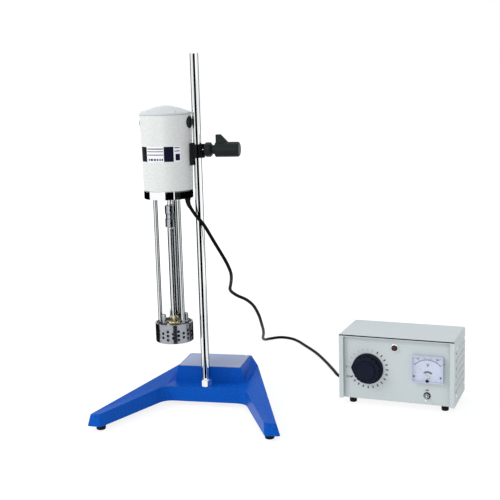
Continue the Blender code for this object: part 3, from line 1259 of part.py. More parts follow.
def build_knob(box):
    axis = make_empty("knob_axis", (KNOB_X, 0, box_low() + KNOB_Z), box)
    shaft = VARIAC_SHAFT_DIAMETER / 2
    back = panel_front() - KNOB_CLEARANCE
    skirt_front = back - KNOB_SKIRT_THICKNESS
    body_front = skirt_front - KNOB_BODY_HEIGHT
    cap_front = body_front - KNOB_CAP_HEIGHT
    skirt = KNOB_SKIRT_DIAMETER / 2
    body = KNOB_BODY_DIAMETER / 2
    cap = KNOB_CAP_DIAMETER / 2
    rings = [knob_ring(skirt, 0, 0, back), knob_ring(skirt, 0, 0, skirt_front + OVERRUN),
             knob_ring(skirt - OVERRUN, 0, 0, skirt_front),
             knob_ring(body + OVERRUN, KNOB_FLUTES, KNOB_FLUTE_DEPTH, skirt_front),
             knob_ring(body - OVERRUN, KNOB_FLUTES, KNOB_FLUTE_DEPTH, body_front + OVERRUN),
             knob_ring(body - OVERRUN * 2, KNOB_FLUTES, KNOB_FLUTE_DEPTH, body_front),
             knob_ring(cap + OVERRUN, 0, 0, body_front), knob_ring(cap, 0, 0, cap_front)]
    knob = make_piece("control_knob", loft(rings), "black_plastic", axis)
    nose = KNOB_NOSE_WIDTH / 2
    pointer = extruded_back([(-skirt + nose, -nose), (-KNOB_NOSE, 0), (-skirt + nose, nose)],
                            skirt_front + OVERRUN / 2, back - FIT)
    fuse(knob, make_cutter("guide_knob_nose", pointer, axis))
    hole = cylinder(shaft + FIT, back - SHAFT_GRIP - FIT, back + OVERRUN, FINE_COUNT, "Y")
    cut(knob, make_cutter("guide_knob_bore", hole, axis))

    core_front = panel_back() + FIT
    core_back = core_front + VARIAC_LENGTH
    wiper_front = core_back + FIT
    wiper_back = wiper_front + WIPER_THICKNESS
    shaft_piece = make_piece("variac_shaft", cylinder(shaft, back - SHAFT_GRIP, wiper_back + OVERRUN,
                                                      FINE_COUNT, "Y"), "ground_steel", axis)
    arm = block((-WIPER_REACH, wiper_front, -WIPER_WIDTH / 2), (shaft, wiper_back, WIPER_WIDTH / 2))
    fuse(shaft_piece, make_cutter("guide_wiper_arm", arm, axis))
    outer = VARIAC_DIAMETER / 2
    bore = VARIAC_BORE_DIAMETER / 2
    hub = VARIAC_HUB_DIAMETER / 2
    profile = [(shaft + RUN, core_front), (outer, core_front), (outer, core_back), (bore, core_back),
               (bore, core_front + VARIAC_WEB), (hub, core_front + VARIAC_WEB),
               (hub, core_back - OVERRUN), (shaft + RUN, core_back - OVERRUN)]
    make_piece("variac_core", turned(profile, MEDIUM_COUNT, "Y"), "iron_winding", axis)


def build_meter(box):
    middle = (METER_X, 0, box_low() + METER_Z)
    front = panel_front() - FIT - METER_DEPTH
    back = panel_front() - FIT
    outline = rounded_rectangle(METER_WIDTH, METER_HEIGHT, METER_ROUND * 2, 3)
    case = make_piece("meter_case", extruded_back(outline, front, back), "meter_moulding", box, middle)
    barrel = cylinder(METER_BARREL_DIAMETER / 2, back - OVERRUN, back + METER_BARREL_DEPTH,
                      SMALL_COUNT, "Y")
    fuse(case, make_cutter("guide_meter_barrel", barrel, box, middle))
    inner = rounded_rectangle(METER_WIDTH - 2 * METER_WALL, METER_HEIGHT - 2 * METER_WALL,
                              METER_ROUND, 2)
    cavity_back = front + METER_WINDOW_THICKNESS + FIT + METER_CAVITY
    cut(case, make_cutter("guide_meter_cavity", extruded_back(inner, front - OVERRUN, cavity_back),
                          box, middle))
    pane = rounded_rectangle(METER_WIDTH - 2 * METER_WALL - 2 * FIT,
                             METER_HEIGHT - 2 * METER_WALL - 2 * FIT, METER_ROUND, 2)
    make_piece("meter_window", extruded_back(pane, front, front + METER_WINDOW_THICKNESS),
               "clear_acrylic", box, middle, smooth=False)

    pin = NEEDLE_PIN_DIAMETER / 2
    pivot = Vector(middle) - Vector((0, 0, NEEDLE_PIVOT_DROP))
    hub_back = cavity_back - FIT
    hub_front = hub_back - NEEDLE_HUB_HEIGHT
    pin_body = cylinder(pin, hub_front - FIT * 2, cavity_back + OVERRUN, 8, "Y")
    fuse(case, make_cutter("guide_needle_pin", pin_body, box, pivot))
    axis = make_empty("needle_axis", pivot, box)
    hub = NEEDLE_HUB_DIAMETER / 2
    needle = make_piece("meter_needle", tube(pin + FIT, hub, hub_front, hub_back, FINE_COUNT, "Y"),
                        "black_plastic", axis, smooth=False)
    blade_back = hub_front + NEEDLE_THICKNESS
    half = NEEDLE_WIDTH / 2
    blade = extruded_back([(-half, hub / 2), (half, hub / 2), (half / 3, NEEDLE_LENGTH),
                           (-half / 3, NEEDLE_LENGTH)], hub_front + FIT / 2, blade_back)
    blade = spun(blade, -NEEDLE_REST, 'Y')
    fuse(needle, make_cutter("guide_needle_blade", blade, axis))


def build_lamp(box):
    middle = (LAMP_X, 0, box_low() + LAMP_Z)
    face = panel_front() - FIT
    front = face - LAMP_BEZEL_HEIGHT
    back = face + LAMP_BARREL_LENGTH
    lens = LENS_DIAMETER / 2
    flange = LAMP_BEZEL_DIAMETER / 2
    barrel = LAMP_BARREL_DIAMETER / 2
    profile = [(lens + FIT, front), (flange - OVERRUN, front), (flange, front + OVERRUN),
               (flange, face), (barrel, face), (barrel, back), (lens + FIT, back)]
    make_piece("pilot_bezel", turned(profile, SMALL_COUNT, "Y"), "chrome", box, middle)
    dome = [(lens * math.cos(a), front - LENS_RISE * math.sin(a)) for a in
            (math.pi / 2 * k / 4 for k in range(4))]
    profile = [(0, front - LENS_RISE)] + dome[::-1] + [(lens, back - OVERRUN), (0, back - OVERRUN)]
    make_piece("pilot_lens", turned(profile, SMALL_COUNT, "Y"), "red_lens", box, middle)


def lever_pivot_y():
    return panel_front() - TOGGLE_BUSH_PROUD


def build_toggle(box):
    middle = (TOGGLE_X, 0, box_low() + TOGGLE_Z)
    face = panel_front() - FIT
    bush = TOGGLE_BUSH_DIAMETER / 2
    front = lever_pivot_y()
    behind = panel_back() + FIT
    switch = make_piece("toggle_body", block(
        (-TOGGLE_BODY_WIDTH / 2, behind, -TOGGLE_BODY_HEIGHT / 2),
        (TOGGLE_BODY_WIDTH / 2, behind + TOGGLE_BODY_DEPTH, TOGGLE_BODY_HEIGHT / 2)),
        "chrome", box, middle, smooth=False)
    stem = cylinder(bush, front, behind + OVERRUN, SMALL_COUNT, "Y")
    fuse(switch, make_cutter("guide_toggle_bush", stem, box, middle))
    ring = nut_solid(TOGGLE_NUT_DIAMETER * math.cos(math.pi / 6), face - TOGGLE_NUT_HEIGHT, face,
                     OVERRUN, 6, "Y")
    fuse(switch, make_cutter("guide_toggle_nut", ring, box, middle))
    socket = cylinder(TOGGLE_SOCKET_DIAMETER / 2, front - OVERRUN, front + TOGGLE_SOCKET_DEPTH,
                      FINE_COUNT, "Y")
    cut(switch, make_cutter("guide_toggle_socket", socket, box, middle))

    pivot = Vector(middle) + Vector((0, front + FIT, 0))
    axis = make_empty("lever_axis", pivot, box)
    ball = LEVER_BALL_DIAMETER / 2
    stem = LEVER_STEM_DIAMETER / 2
    tip = LEVER_TIP_DIAMETER / 2
    joint = math.sqrt(ball * ball - stem * stem)
    sphere = [(0, ball)] + [(ball * math.sin(a), ball * math.cos(a))
                            for a in (math.pi / 6, math.pi / 3, math.pi / 2, math.pi * 2 / 3)]
    end = -LEVER_LENGTH
    bat = [(stem, -joint), (tip, end + tip), (tip * math.sin(math.pi / 4),
                                              end + tip * (1 - math.cos(math.pi / 4))), (0, end)]
    lever = turned(sphere + bat, FINE_COUNT, "Y")
    lever = spun(lever, LEVER_TILT, 'X')
    make_piece("toggle_lever", lever, "chrome", axis)


def build_rear(box):
    rear = rear_face()
    low = box_low()
    middle = (INLET_X, 0, low + INLET_Z)
    flange = block((-INLET_FLANGE_WIDTH / 2, rear + FIT, -INLET_FLANGE_HEIGHT / 2),
                   (INLET_FLANGE_WIDTH / 2, rear + FIT + INLET_FLANGE_THICKNESS,
                    INLET_FLANGE_HEIGHT / 2))
    outer = rear + FIT + INLET_FLANGE_THICKNESS
    inlet = make_piece("mains_inlet", flange, "black_plastic", box, middle, smooth=False)
    body = block((-INLET_BODY_WIDTH / 2, rear - INLET_BODY_DEPTH, -INLET_BODY_HEIGHT / 2),
                 (INLET_BODY_WIDTH / 2, outer - OVERRUN, INLET_BODY_HEIGHT / 2))
    fuse(inlet, make_cutter("guide_inlet_body", body, box, middle))
    floor = outer - INLET_SOCKET_DEPTH
    socket = block((-INLET_SOCKET_WIDTH / 2, floor, -INLET_SOCKET_HEIGHT / 2),
                   (INLET_SOCKET_WIDTH / 2, outer + OVERRUN, INLET_SOCKET_HEIGHT / 2))
    cut(inlet, make_cutter("guide_inlet_socket", socket, box, middle))
    for i in (-1, 0, 1):
        x = i * INLET_PIN_SPACING
        pin = block((x - INLET_PIN_WIDTH / 2, floor - OVERRUN, -INLET_PIN_HEIGHT / 2),
                    (x + INLET_PIN_WIDTH / 2, outer - INLET_FLANGE_THICKNESS, INLET_PIN_HEIGHT / 2))
        fuse(inlet, make_cutter("guide_inlet_pin_%d" % (i + 1), pin, box, middle))

    stem = BOX_GLAND_STEM_DIAMETER / 2
    flange = BOX_GLAND_FLANGE_DIAMETER / 2
    tip = BOX_GLAND_TIP_DIAMETER / 2
    seat = rear + FIT
    shoulder = seat + BOX_GLAND_FLANGE_THICKNESS
    end = shoulder + BOX_GLAND_LENGTH
    profile = [(0, rear - SHEET * 2), (stem, rear - SHEET * 2), (stem, seat), (flange, seat),
               (flange, shoulder - OVERRUN), (flange - OVERRUN, shoulder), (stem + OVERRUN, shoulder),
               (tip, end), (0, end)]
    make_piece("box_gland", turned(profile, SMALL_COUNT, "Y"), "black_rubber", box,
               (BOX_GLAND_X, 0, low + BOX_GLAND_Z))
    return Vector((BOX_GLAND_X, end, low + BOX_GLAND_Z))


# Motor lead

def smooth_curve(points, count):
    """Evenly spaced points on a centripetal Catmull-Rom curve through the given ones."""
    ends = [points[0] * 2 - points[1]] + points + [points[-1] * 2 - points[-2]]
    fine = []
    for a, b, c, d in zip(ends, ends[1:], ends[2:], ends[3:]):
        knots = [0.0]
        for p, q in ((a, b), (b, c), (c, d)):
            knots.append(knots[-1] + math.sqrt((q - p).length))
        t0, t1, t2, t3 = knots
        for k in range(16):
            t = t1 + (t2 - t1) * k / 16
            a1 = a * ((t1 - t) / (t1 - t0)) + b * ((t - t0) / (t1 - t0))
            a2 = b * ((t2 - t) / (t2 - t1)) + c * ((t - t1) / (t2 - t1))
            a3 = c * ((t3 - t) / (t3 - t2)) + d * ((t - t2) / (t3 - t2))
            b1 = a1 * ((t2 - t) / (t2 - t0)) + a2 * ((t - t0) / (t2 - t0))
            b2 = a2 * ((t3 - t) / (t3 - t1)) + a3 * ((t - t1) / (t3 - t1))
            fine.append(b1 * ((t2 - t) / (t2 - t1)) + b2 * ((t - t1) / (t2 - t1)))
    fine.append(points[-1])
    lengths = [0.0]
    for p, q in zip(fine, fine[1:]):
        lengths.append(lengths[-1] + (q - p).length)
    result = []
    index = 0
    for k in range(count):
        target = lengths[-1] * k / (count - 1)
        while index < len(fine) - 2 and lengths[index + 1] < target:
            index += 1
        span = lengths[index + 1] - lengths[index]
        result.append(fine[index].lerp(fine[index + 1], (target - lengths[index]) / span))
    return result, lengths[-1]


def build_lead(stand, head, box_end):
    path = [p + Vector((-HEAD_OFFSET, 0, 0)) for p in gland_path()]
    leaving = gland_direction(1)
    start = path[-1] + leaving * FIT
    turn = Matrix.Rotation(BOX_YAW, 3, 'Z')
    outward = turn @ Vector((0, 1, 0))
    end = turn @ box_end + Vector((BOX_CENTRE_X, BOX_CENTRE_Y, 0)) + outward * FIT
    route = [start, start + leaving * LEAD_STRAIGHT]
    route += [Vector(p) * MM for p in LEAD_ROUTE_MM]
    route += [end + outward * LEAD_STRAIGHT, end]
    points, length = smooth_curve(route, LEAD_POINT_COUNT)
    curve = bpy.data.curves.new("motor_lead", 'CURVE')
    curve.dimensions = '3D'
    curve.bevel_depth = LEAD_DIAMETER / 2
    curve.bevel_resolution = 2
    curve.resolution_u = 1
    curve.render_resolution_u = 0
    curve.use_fill_caps = True
    spline = curve.splines.new('POLY')
    spline.points.add(len(points) - 1)
    for target, point in zip(spline.points, points):
        target.co = (*point, 1)
    lead = bpy.data.objects.new("motor_lead", curve)
    bpy.context.scene.collection.objects.link(lead)
    lead.parent = stand
    curve.materials.append(make_finish("black_rubber"))
    print("motor lead length, m:", round(length, 4))


def build():
    clear_scene()
    stand = make_empty("stand_frame", (COLUMN_X, COLUMN_Y, 0))
    head = make_empty("motor_axis", (-HEAD_OFFSET, 0, 0), stand)
    box = make_empty("box_frame", (BOX_CENTRE_X, BOX_CENTRE_Y, 0), stand, BOX_YAW)
    build_base(stand)
    build_column(stand)
    build_working_head(head)
    build_drive(head)
    build_motor(head)
    build_motor_gland(head)
    build_clamp(head, stand)
    build_box_shell(box)
    build_knob(box)
    build_meter(box)
    build_lamp(box)
    build_toggle(box)
    box_end = build_rear(box)
    build_lead(stand, head, box_end)


build()
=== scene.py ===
# Looks for the laboratory homogenizer: every size is in millimetres until mm turns it to metres
import bpy
import math
from mathutils import Matrix, Vector


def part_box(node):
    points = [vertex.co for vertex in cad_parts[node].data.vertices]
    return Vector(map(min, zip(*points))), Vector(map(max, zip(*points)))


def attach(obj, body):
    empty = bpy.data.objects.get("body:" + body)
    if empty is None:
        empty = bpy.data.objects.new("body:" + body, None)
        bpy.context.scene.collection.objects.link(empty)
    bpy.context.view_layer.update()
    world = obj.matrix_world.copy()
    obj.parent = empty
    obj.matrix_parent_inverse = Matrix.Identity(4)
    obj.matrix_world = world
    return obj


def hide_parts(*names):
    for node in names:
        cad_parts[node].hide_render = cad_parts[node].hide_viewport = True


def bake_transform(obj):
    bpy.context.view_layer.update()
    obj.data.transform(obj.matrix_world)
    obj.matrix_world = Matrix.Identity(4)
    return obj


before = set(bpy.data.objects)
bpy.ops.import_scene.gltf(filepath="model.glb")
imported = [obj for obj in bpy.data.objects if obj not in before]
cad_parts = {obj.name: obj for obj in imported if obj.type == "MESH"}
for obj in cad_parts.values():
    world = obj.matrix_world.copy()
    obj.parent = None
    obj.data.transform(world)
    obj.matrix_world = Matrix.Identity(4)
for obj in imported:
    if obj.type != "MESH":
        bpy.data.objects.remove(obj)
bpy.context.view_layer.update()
mm = 0.001


def spun(degrees, axis="Z"):
    return Matrix.Rotation(math.radians(degrees), 4, axis)


def shift(x, y, z):
    return Matrix.Translation(Vector((x, y, z)) * mm)


turnToX = spun(90, "Y")  # a turned form's height runs along +X
turnToY = spun(-90, "X")  # and here along +Y
columnPlace = shift(-161.77, 2.9, 0)
headPlace = shift(-223.27, 2.9, 0)
boxPlace = shift(224.13, 86.8, 0) @ spun(-9.05)
boxFloor = 13.3  # lower edge of the control box above the bench
panelPlace = boxPlace @ shift(0, -51.75, 0)  # the front panel's face
print("frame loaded")

# camera where the photograph was taken from
shot = {"place": (346.79, -1777.26, 631.35), "target": (-68.16, 24.46, 314.92), "roll": -1.63,
        "lens": 68.65}


def setCamera():
    target = Vector(shot["target"]) * mm
    place = Vector(shot["place"]) * mm
    ahead = (target - place).normalized()
    side = ahead.cross(Vector((0, 0, 1))).normalized()
    above = side.cross(ahead)
    roll = math.radians(shot["roll"])
    right = side * math.cos(roll) + above * math.sin(roll)
    up = above * math.cos(roll) - side * math.sin(roll)
    data = bpy.data.cameras.new("photoCamera")
    data.lens = shot["lens"]
    data.sensor_width = 36
    data.clip_end = 30
    camera = bpy.data.objects.new("photoCamera", data)
    bpy.context.scene.collection.objects.link(camera)
    matrix = Matrix((right, up, -ahead)).transposed().to_4x4()
    matrix.translation = place
    camera.matrix_world = matrix
    bpy.context.scene.camera = camera


setCamera()
bpy.context.scene.view_settings.view_transform = "Standard"
print("camera set")


# materials
def fromHex(text):
    parts = [int(text[i:i + 2], 16) / 255 for i in (1, 3, 5)]
    return (*[p / 12.92 if p <= 0.04045 else ((p + 0.055) / 1.055) ** 2.4 for p in parts], 1.0)


def addNode(mat, kind, inputs={}, **settings):
    node = mat.node_tree.nodes.new(kind)
    for key, value in settings.items():
        setattr(node, key, value)
    for socket, value in inputs.items():
        if isinstance(value, bpy.types.NodeSocket):
            mat.node_tree.links.new(value, node.inputs[socket])
        else:
            node.inputs[socket].default_value = value
    return node


# the grain runs between two tones and two glosses, or leaves a single one plain; its size and depth
# are in mm, and a grain too fine to show in the picture is drawn as coarse as it needs
def makeFinish(name, tones, gloss, size, depth=0.0, stretch=(1, 1, 1), metal=0.0, shine=0.5, more={}):
    mat = bpy.data.materials.new(name)
    mat.use_nodes = True
    shader = mat.node_tree.nodes["Principled BSDF"]
    sockets = {"Base Color": fromHex(tones if isinstance(tones, str) else tones[0]), "Metallic": metal,
               "Roughness": gloss[0] if isinstance(gloss, tuple) else gloss, "Specular IOR Level": shine,
               **more}
    for socket, value in sockets.items():
        shader.inputs[socket].default_value = value
    place = addNode(mat, "ShaderNodeTexCoord")
    mapping = addNode(mat, "ShaderNodeMapping", {"Vector": place.outputs["Object"], "Scale": stretch})
    noise = addNode(mat, "ShaderNodeTexNoise", {"Vector": mapping.outputs[0], "Scale": 1 / (size * mm),
                                                "Detail": 3, "Roughness": 0.55})
    spread = {"Value": noise.outputs["Fac"], "From Min": 0.3, "From Max": 0.7}
    if depth:
        bump = addNode(mat, "ShaderNodeBump", {"Height": noise.outputs["Fac"], "Distance": depth * mm,
                                               "Strength": 1.0})
        mat.node_tree.links.new(bump.outputs[0], shader.inputs["Normal"])
    if isinstance(tones, tuple):
        share = addNode(mat, "ShaderNodeMapRange", spread)
        mix = addNode(mat, "ShaderNodeMix", {0: share.outputs[0], 6: fromHex(tones[0]),
                                             7: fromHex(tones[1])}, data_type="RGBA")
        mat.node_tree.links.new(mix.outputs[2], shader.inputs["Base Color"])
    if isinstance(gloss, tuple):
        span = addNode(mat, "ShaderNodeMapRange", {**spread, "To Min": gloss[0], "To Max": gloss[1]})
        mat.node_tree.links.new(span.outputs[0], shader.inputs["Roughness"])
    return mat


# stove enamel on cast iron: deep gloss over a slightly uneven casting
stoveEnamel = makeFinish("blueStoveEnamel", ("#0749a6", "#1062cc"), (0.26, 0.42), 2.4, 0.2, shine=0.045)
# baked enamel on spun sheet: smooth, faint orange peel
bakedEnamel = makeFinish("whiteBakedEnamel", ("#dbdedb", "#dee1de"), (0.24, 0.3), 5, 0.006, shine=0.35)
# the same enamel on the spun lid, a shade greyer
lidEnamel = makeFinish("greyBakedEnamel", ("#cbd0d0", "#cfd4d4"), (0.28, 0.36), 5, 0.006, shine=0.35)
# bright chrome plate: near mirror with faint polishing haze
brightChrome = makeFinish("brightChromePlate", "#eceeef", (0.03, 0.07), 14, metal=1.0)
# centreless ground steel rod: bright, with fine rings round the axis, drawn coarse to show
groundSteel = makeFinish("groundSteelRod", ("#c4c8ca", "#d6dadb"), (0.05, 0.09), 2.0, 0.002,
                         stretch=(0.2, 0.2, 1.6), metal=1.0)
# turned stainless steel: satin, with tool marks round the axis, drawn coarse to show
turnedStainless = makeFinish("turnedStainless", ("#8c9095", "#a8acb1"), (0.2, 0.32), 1.4, 0.008,
                             stretch=(0.15, 0.15, 1.8), metal=1.0)
# painted shade in the drilled holes: the hole walls are dull and near black beside the turned face, in
# place of the shade inside them
paintedHoleShade = makeFinish("paintedHoleShade", ("#141618", "#222527"), (0.5, 0.7), 0.8, 0.01, metal=0.4)
# machined brass: warm and bright, lightly tarnished
machinedBrass = makeFinish("machinedBrass", ("#d4c488", "#efe3b6"), (0.18, 0.34), 2.0, 0.006, metal=1.0)
# injection moulded ABS: satin black with a faint spark texture, drawn coarse to show
mouldedAbs = makeFinish("mouldedBlackAbs", ("#13181a", "#1f2627"), (0.32, 0.46), 0.9, 0.012, shine=0.12)
# phenolic knob moulding: blue-black with a soft polish
knobPhenolic = makeFinish("knobPhenolic", ("#101422", "#191e30"), (0.3, 0.42), 1.2, 0.008, shine=0.08)
# enamelled die casting: black with a slight sheen
castEnamel = makeFinish("blackEnamelledCasting", ("#0c0e0f", "#171a1b"), (0.28, 0.45), 1.6, 0.02,
                        shine=0.08)
# moulded rubber: matt and slightly dusty
mouldedRubber = makeFinish("blackRubber", ("#0c0d0e", "#17181a"), (0.6, 0.8), 1.3, 0.02, shine=0.15)
# extruded PVC sheath: smooth with a low sheen
pvcSheath = makeFinish("blackPvcSheath", ("#040506", "#08090a"), (0.36, 0.5), 2.2, 0.01, shine=0.05)
# grey-green hammer-smooth enamel on folded steel sheet
sheetEnamel = makeFinish("greyGreenEnamel", ("#cbd3d3", "#cfd7d7"), (0.38, 0.48), 2.2, 0.01, shine=0.3)
# anodised aluminium plate: satin blue-grey with a horizontal brush, drawn coarse to show
anodisedPlate = makeFinish("anodisedPlate", ("#99a4c4", "#a8b3d2"), (0.38, 0.52), 2.0, 0.004,
                           stretch=(0.1, 1.8, 1), shine=0.2)
# zinc plated sheet: dull metal with a spangle
zincSheet = makeFinish("zincSheet", ("#999c9e", "#b0b3b5"), (0.32, 0.5), 9, metal=0.9)
# varnished winding and laminations: brown amber with dark streaks
varnishedIron = makeFinish("varnishedWinding", ("#4a2b1c", "#8a4f2e"), 0.4, 1.5, 0.05, stretch=(1, 1, 4))
# drawn copper bars: dull warm metal
drawnCopper = makeFinish("drawnCopper", ("#a8643f", "#c98664"), 0.3, 1.2, 0.01, metal=1.0)
# black acetal: self-coloured, soft sheen
blackAcetal = makeFinish("blackAcetal", ("#121416", "#1b1e21"), 0.45, 2.0, 0.01, shine=0.15)
# pressed carbon: matt and near black
pressedCarbon = makeFinish("pressedCarbon", ("#1c1c1e", "#2e2e31"), 0.6, 0.8, 0.02)
# polystyrene moulding: glossy white with a cold tint
meterMoulding = makeFinish("meterMoulding", ("#c3cbdd", "#c9d1e3"), 0.22, 3.0, 0.004, shine=0.35)
# screen printed dial: flat paper white with a cold tint
dialWhite = makeFinish("dialWhite", ("#d3dbf0", "#d9e1f5"), 0.55, 2.0, shine=0.2)
# cast acrylic pane: clear, with the shine of its surface
clearAcrylic = makeFinish("clearAcrylic", "#f4f7fa", (0.04, 0.08), 20, more={"Alpha": 0.12})
# tinted polycarbonate lamp lens: dark ruby, glossy
rubyLens = makeFinish("rubyLens", ("#1e0306", "#48090e"), 0.14, 2.5, 0.02, shine=0.3,
                      more={"Coat Weight": 0.1, "Coat Roughness": 0.05})
# screen printing ink: flat blue-black
darkInk = makeFinish("darkInk", ("#090b10", "#10131a"), 0.5, 1.0, shine=0.1)
# the same ink where it is worn thin
wornInk = makeFinish("wornInk", ("#727b7d", "#8a9394"), 0.5, 1.0, shine=0.1)
# vinyl label film and its inks: smooth with a soft sheen
vinylWhite = makeFinish("vinylWhite", ("#ebedf4", "#f2f4f9"), 0.35, 3.0)
vinylInk = makeFinish("vinylInk", ("#080916", "#131532"), 0.35, 2.0, shine=0.05)
vinylBlack = makeFinish("vinylBlack", ("#050608", "#0b0c10"), 0.35, 2.0, shine=0.03)
print("materials ready")


# making pieces
def deselect():
    if bpy.context.object and bpy.context.object.mode != "OBJECT":
        bpy.ops.object.mode_set(mode="OBJECT")
    bpy.ops.object.select_all(action="DESELECT")


def pick(obj):
    deselect()
    obj.select_set(True)
    bpy.context.view_layer.objects.active = obj


doublesGap, copyGap = 0.0005, 0.002  # merge distances for new pieces and for copies of CAD nodes
sharpEdge = 28  # edges sharper than this many degrees are eased
flatFace = 0.5  # faces within this many degrees of each other become one


# one vertex, ready in edit mode to be pulled into a line
def startPoint(at):
    deselect()
    bpy.ops.mesh.primitive_plane_add(size=mm)
    bpy.ops.object.mode_set(mode="EDIT")
    bpy.ops.mesh.select_all(action="SELECT")
    bpy.ops.mesh.merge(type="CENTER")
    bpy.ops.transform.translate(value=Vector(at) * mm)
    return bpy.context.object


def pullAlong(points):
    for before, after in zip(points, points[1:]):
        step = (Vector(after) - Vector(before)) * mm
        bpy.ops.mesh.extrude_region_move(TRANSFORM_OT_translate={"value": step})


def cleanMesh():
    bpy.ops.mesh.select_all(action="SELECT")
    bpy.ops.mesh.remove_doubles(threshold=doublesGap * mm)
    bpy.ops.mesh.normals_make_consistent(inside=False)
    bpy.ops.object.mode_set(mode="OBJECT")


# a profile of (radius, height) spun round the axis
def turnProfile(profile, steps=64, arc=360.0, start=0.0):
    a = math.radians(start)
    points = [(r * math.cos(a), r * math.sin(a), h) for r, h in profile]
    obj = startPoint(points[0])
    pullAlong(points)
    bpy.ops.mesh.select_all(action="SELECT")
    bpy.ops.mesh.remove_doubles(threshold=doublesGap * mm)
    bpy.ops.mesh.select_all(action="SELECT")
    bpy.ops.mesh.spin(steps=steps, angle=-math.radians(arc), center=(0, 0, 0), axis=(0, 0, 1))
    if arc < 360:
        bpy.ops.mesh.select_all(action="SELECT")
        bpy.ops.mesh.remove_doubles(threshold=doublesGap * mm)
        bpy.ops.mesh.select_all(action="DESELECT")
        bpy.ops.mesh.select_non_manifold()
        bpy.ops.mesh.edge_face_add()
    cleanMesh()
    return obj


# an outline of (x, z) in the panel's plane, pulled back from low to high
def traceOutline(outline, low, high):
    points = [(x, low, z) for x, z in outline]
    obj = startPoint(points[0])
    pullAlong(points)
    bpy.ops.mesh.select_all(action="SELECT")
    bpy.ops.mesh.edge_face_add()
    bpy.ops.mesh.extrude_region_move(TRANSFORM_OT_translate={"value": (0, (high - low) * mm, 0)})
    cleanMesh()
    return obj


def cubeBetween(low, high):
    deselect()
    low, high = Vector(low) * mm, Vector(high) * mm
    bpy.ops.mesh.primitive_cube_add(size=1, location=(low + high) / 2)
    bpy.context.object.scale = high - low
    bpy.ops.object.transform_apply(location=True, rotation=True, scale=True)
    return bpy.context.object


def makeCylinder(sides, radius, depth, z=0.0):
    deselect()
    bpy.ops.mesh.primitive_cylinder_add(vertices=sides, radius=radius * mm, depth=depth * mm,
                                        location=(0, 0, z * mm))
    bpy.ops.object.transform_apply(location=True, rotation=True, scale=True)
    return bpy.context.object


def makeHexagon(flats, depth, z=0.0):
    return makeCylinder(6, flats / 2 / math.cos(math.pi / 6), depth, z)


def carveWith(obj, cutter, operation="DIFFERENCE"):
    pick(obj)
    modifier = obj.modifiers.new("carve", "BOOLEAN")
    modifier.operation = operation
    modifier.solver = "EXACT"
    modifier.object = cutter
    bpy.ops.object.modifier_apply(modifier=modifier.name)
    bpy.data.objects.remove(cutter, do_unlink=True)
    return obj


def joinAll(pieces):
    deselect()
    for piece in pieces:
        piece.select_set(True)
    bpy.context.view_layer.objects.active = pieces[0]
    if len(pieces) > 1:
        bpy.ops.object.join()
    return bpy.context.view_layer.objects.active


def moveTo(obj, matrix):
    obj.matrix_world = matrix @ obj.matrix_world
    pick(obj)
    bpy.ops.object.transform_apply(location=True, rotation=True, scale=True)
    return obj


def finishEdges(obj, width=0.0, segments=2, smooth=35):
    pick(obj)
    if width:
        modifier = obj.modifiers.new("edge", "BEVEL")
        modifier.width = width * mm
        modifier.segments = segments
        modifier.limit_method = "ANGLE"
        modifier.angle_limit = math.radians(sharpEdge)
        bpy.ops.object.modifier_apply(modifier=modifier.name)
    bpy.ops.object.shade_smooth_by_angle(angle=math.radians(smooth))
    # chamfers don't tilt the long walls
    modifier = obj.modifiers.new("flatWalls", "WEIGHTED_NORMAL")
    modifier.keep_sharp = True
    modifier.weight = 90
    bpy.ops.object.modifier_apply(modifier=modifier.name)
    return obj


# rounds only the long sharp edges
def roundLong(obj, width, shortest, lowest, segments=3):
    pick(obj)
    bpy.ops.object.mode_set(mode="EDIT")
    bpy.ops.mesh.select_mode(type="EDGE")
    bpy.ops.mesh.select_all(action="DESELECT")
    bpy.ops.mesh.edges_select_sharp(sharpness=math.radians(sharpEdge))
    bpy.ops.object.mode_set(mode="OBJECT")
    mesh = obj.data
    for edge in mesh.edges:
        start, end = (mesh.vertices[i].co for i in edge.vertices)
        longEnough = (start - end).length > shortest * mm
        edge.select = edge.select and longEnough and min(start.z, end.z) > lowest * mm
    print("long edges", sum(edge.select for edge in mesh.edges), "of", len(mesh.edges))
    bpy.ops.object.mode_set(mode="EDIT")
    bpy.ops.mesh.bevel(offset=width * mm, segments=segments, clamp_overlap=True)
    bpy.ops.mesh.select_mode(type="VERT")
    bpy.ops.object.mode_set(mode="OBJECT")
    return obj


def dress(obj, name, mat, body, *nodes, slot=None):
    obj.name = name
    obj.data.name = name
    obj.data.materials.clear()
    obj.data.materials.append(mat)
    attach(obj, body)
    if nodes:
        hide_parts(*nodes)
    return obj


# moves a piece to its place, eases its edges and dresses it
def settle(obj, matrix, name, mat, body, *nodes, edge=0.0, smooth=35, slot=None):
    moveTo(obj, matrix)
    return dress(finishEdges(obj, edge, smooth=smooth), name, mat, body, *nodes, slot=slot)


# a merged copy of a CAD node with its edges eased
def fromNode(node, edge=0.0, segments=2, smooth=35):
    obj = bpy.data.objects.new(node + "Fine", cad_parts[node].data.copy())
    bpy.context.scene.collection.objects.link(obj)
    pick(obj)
    bpy.ops.object.mode_set(mode="EDIT")
    bpy.ops.mesh.select_all(action="SELECT")
    bpy.ops.mesh.remove_doubles(threshold=copyGap * mm)
    bpy.ops.mesh.select_all(action="SELECT")
    bpy.ops.mesh.dissolve_limited(angle_limit=math.radians(flatFace))
    bpy.ops.object.mode_set(mode="OBJECT")
    return finishEdges(obj, edge, segments, smooth)


def fineNode(node, name, mat, body, edge=0.0):
    return dress(fromNode(node, edge), name, mat, body, node)


# a CAD node whose shape is right keeps it and takes the material
def wearNode(node, mat):
    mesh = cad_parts[node].data
    mesh.materials.clear()
    mesh.materials.append(mat)
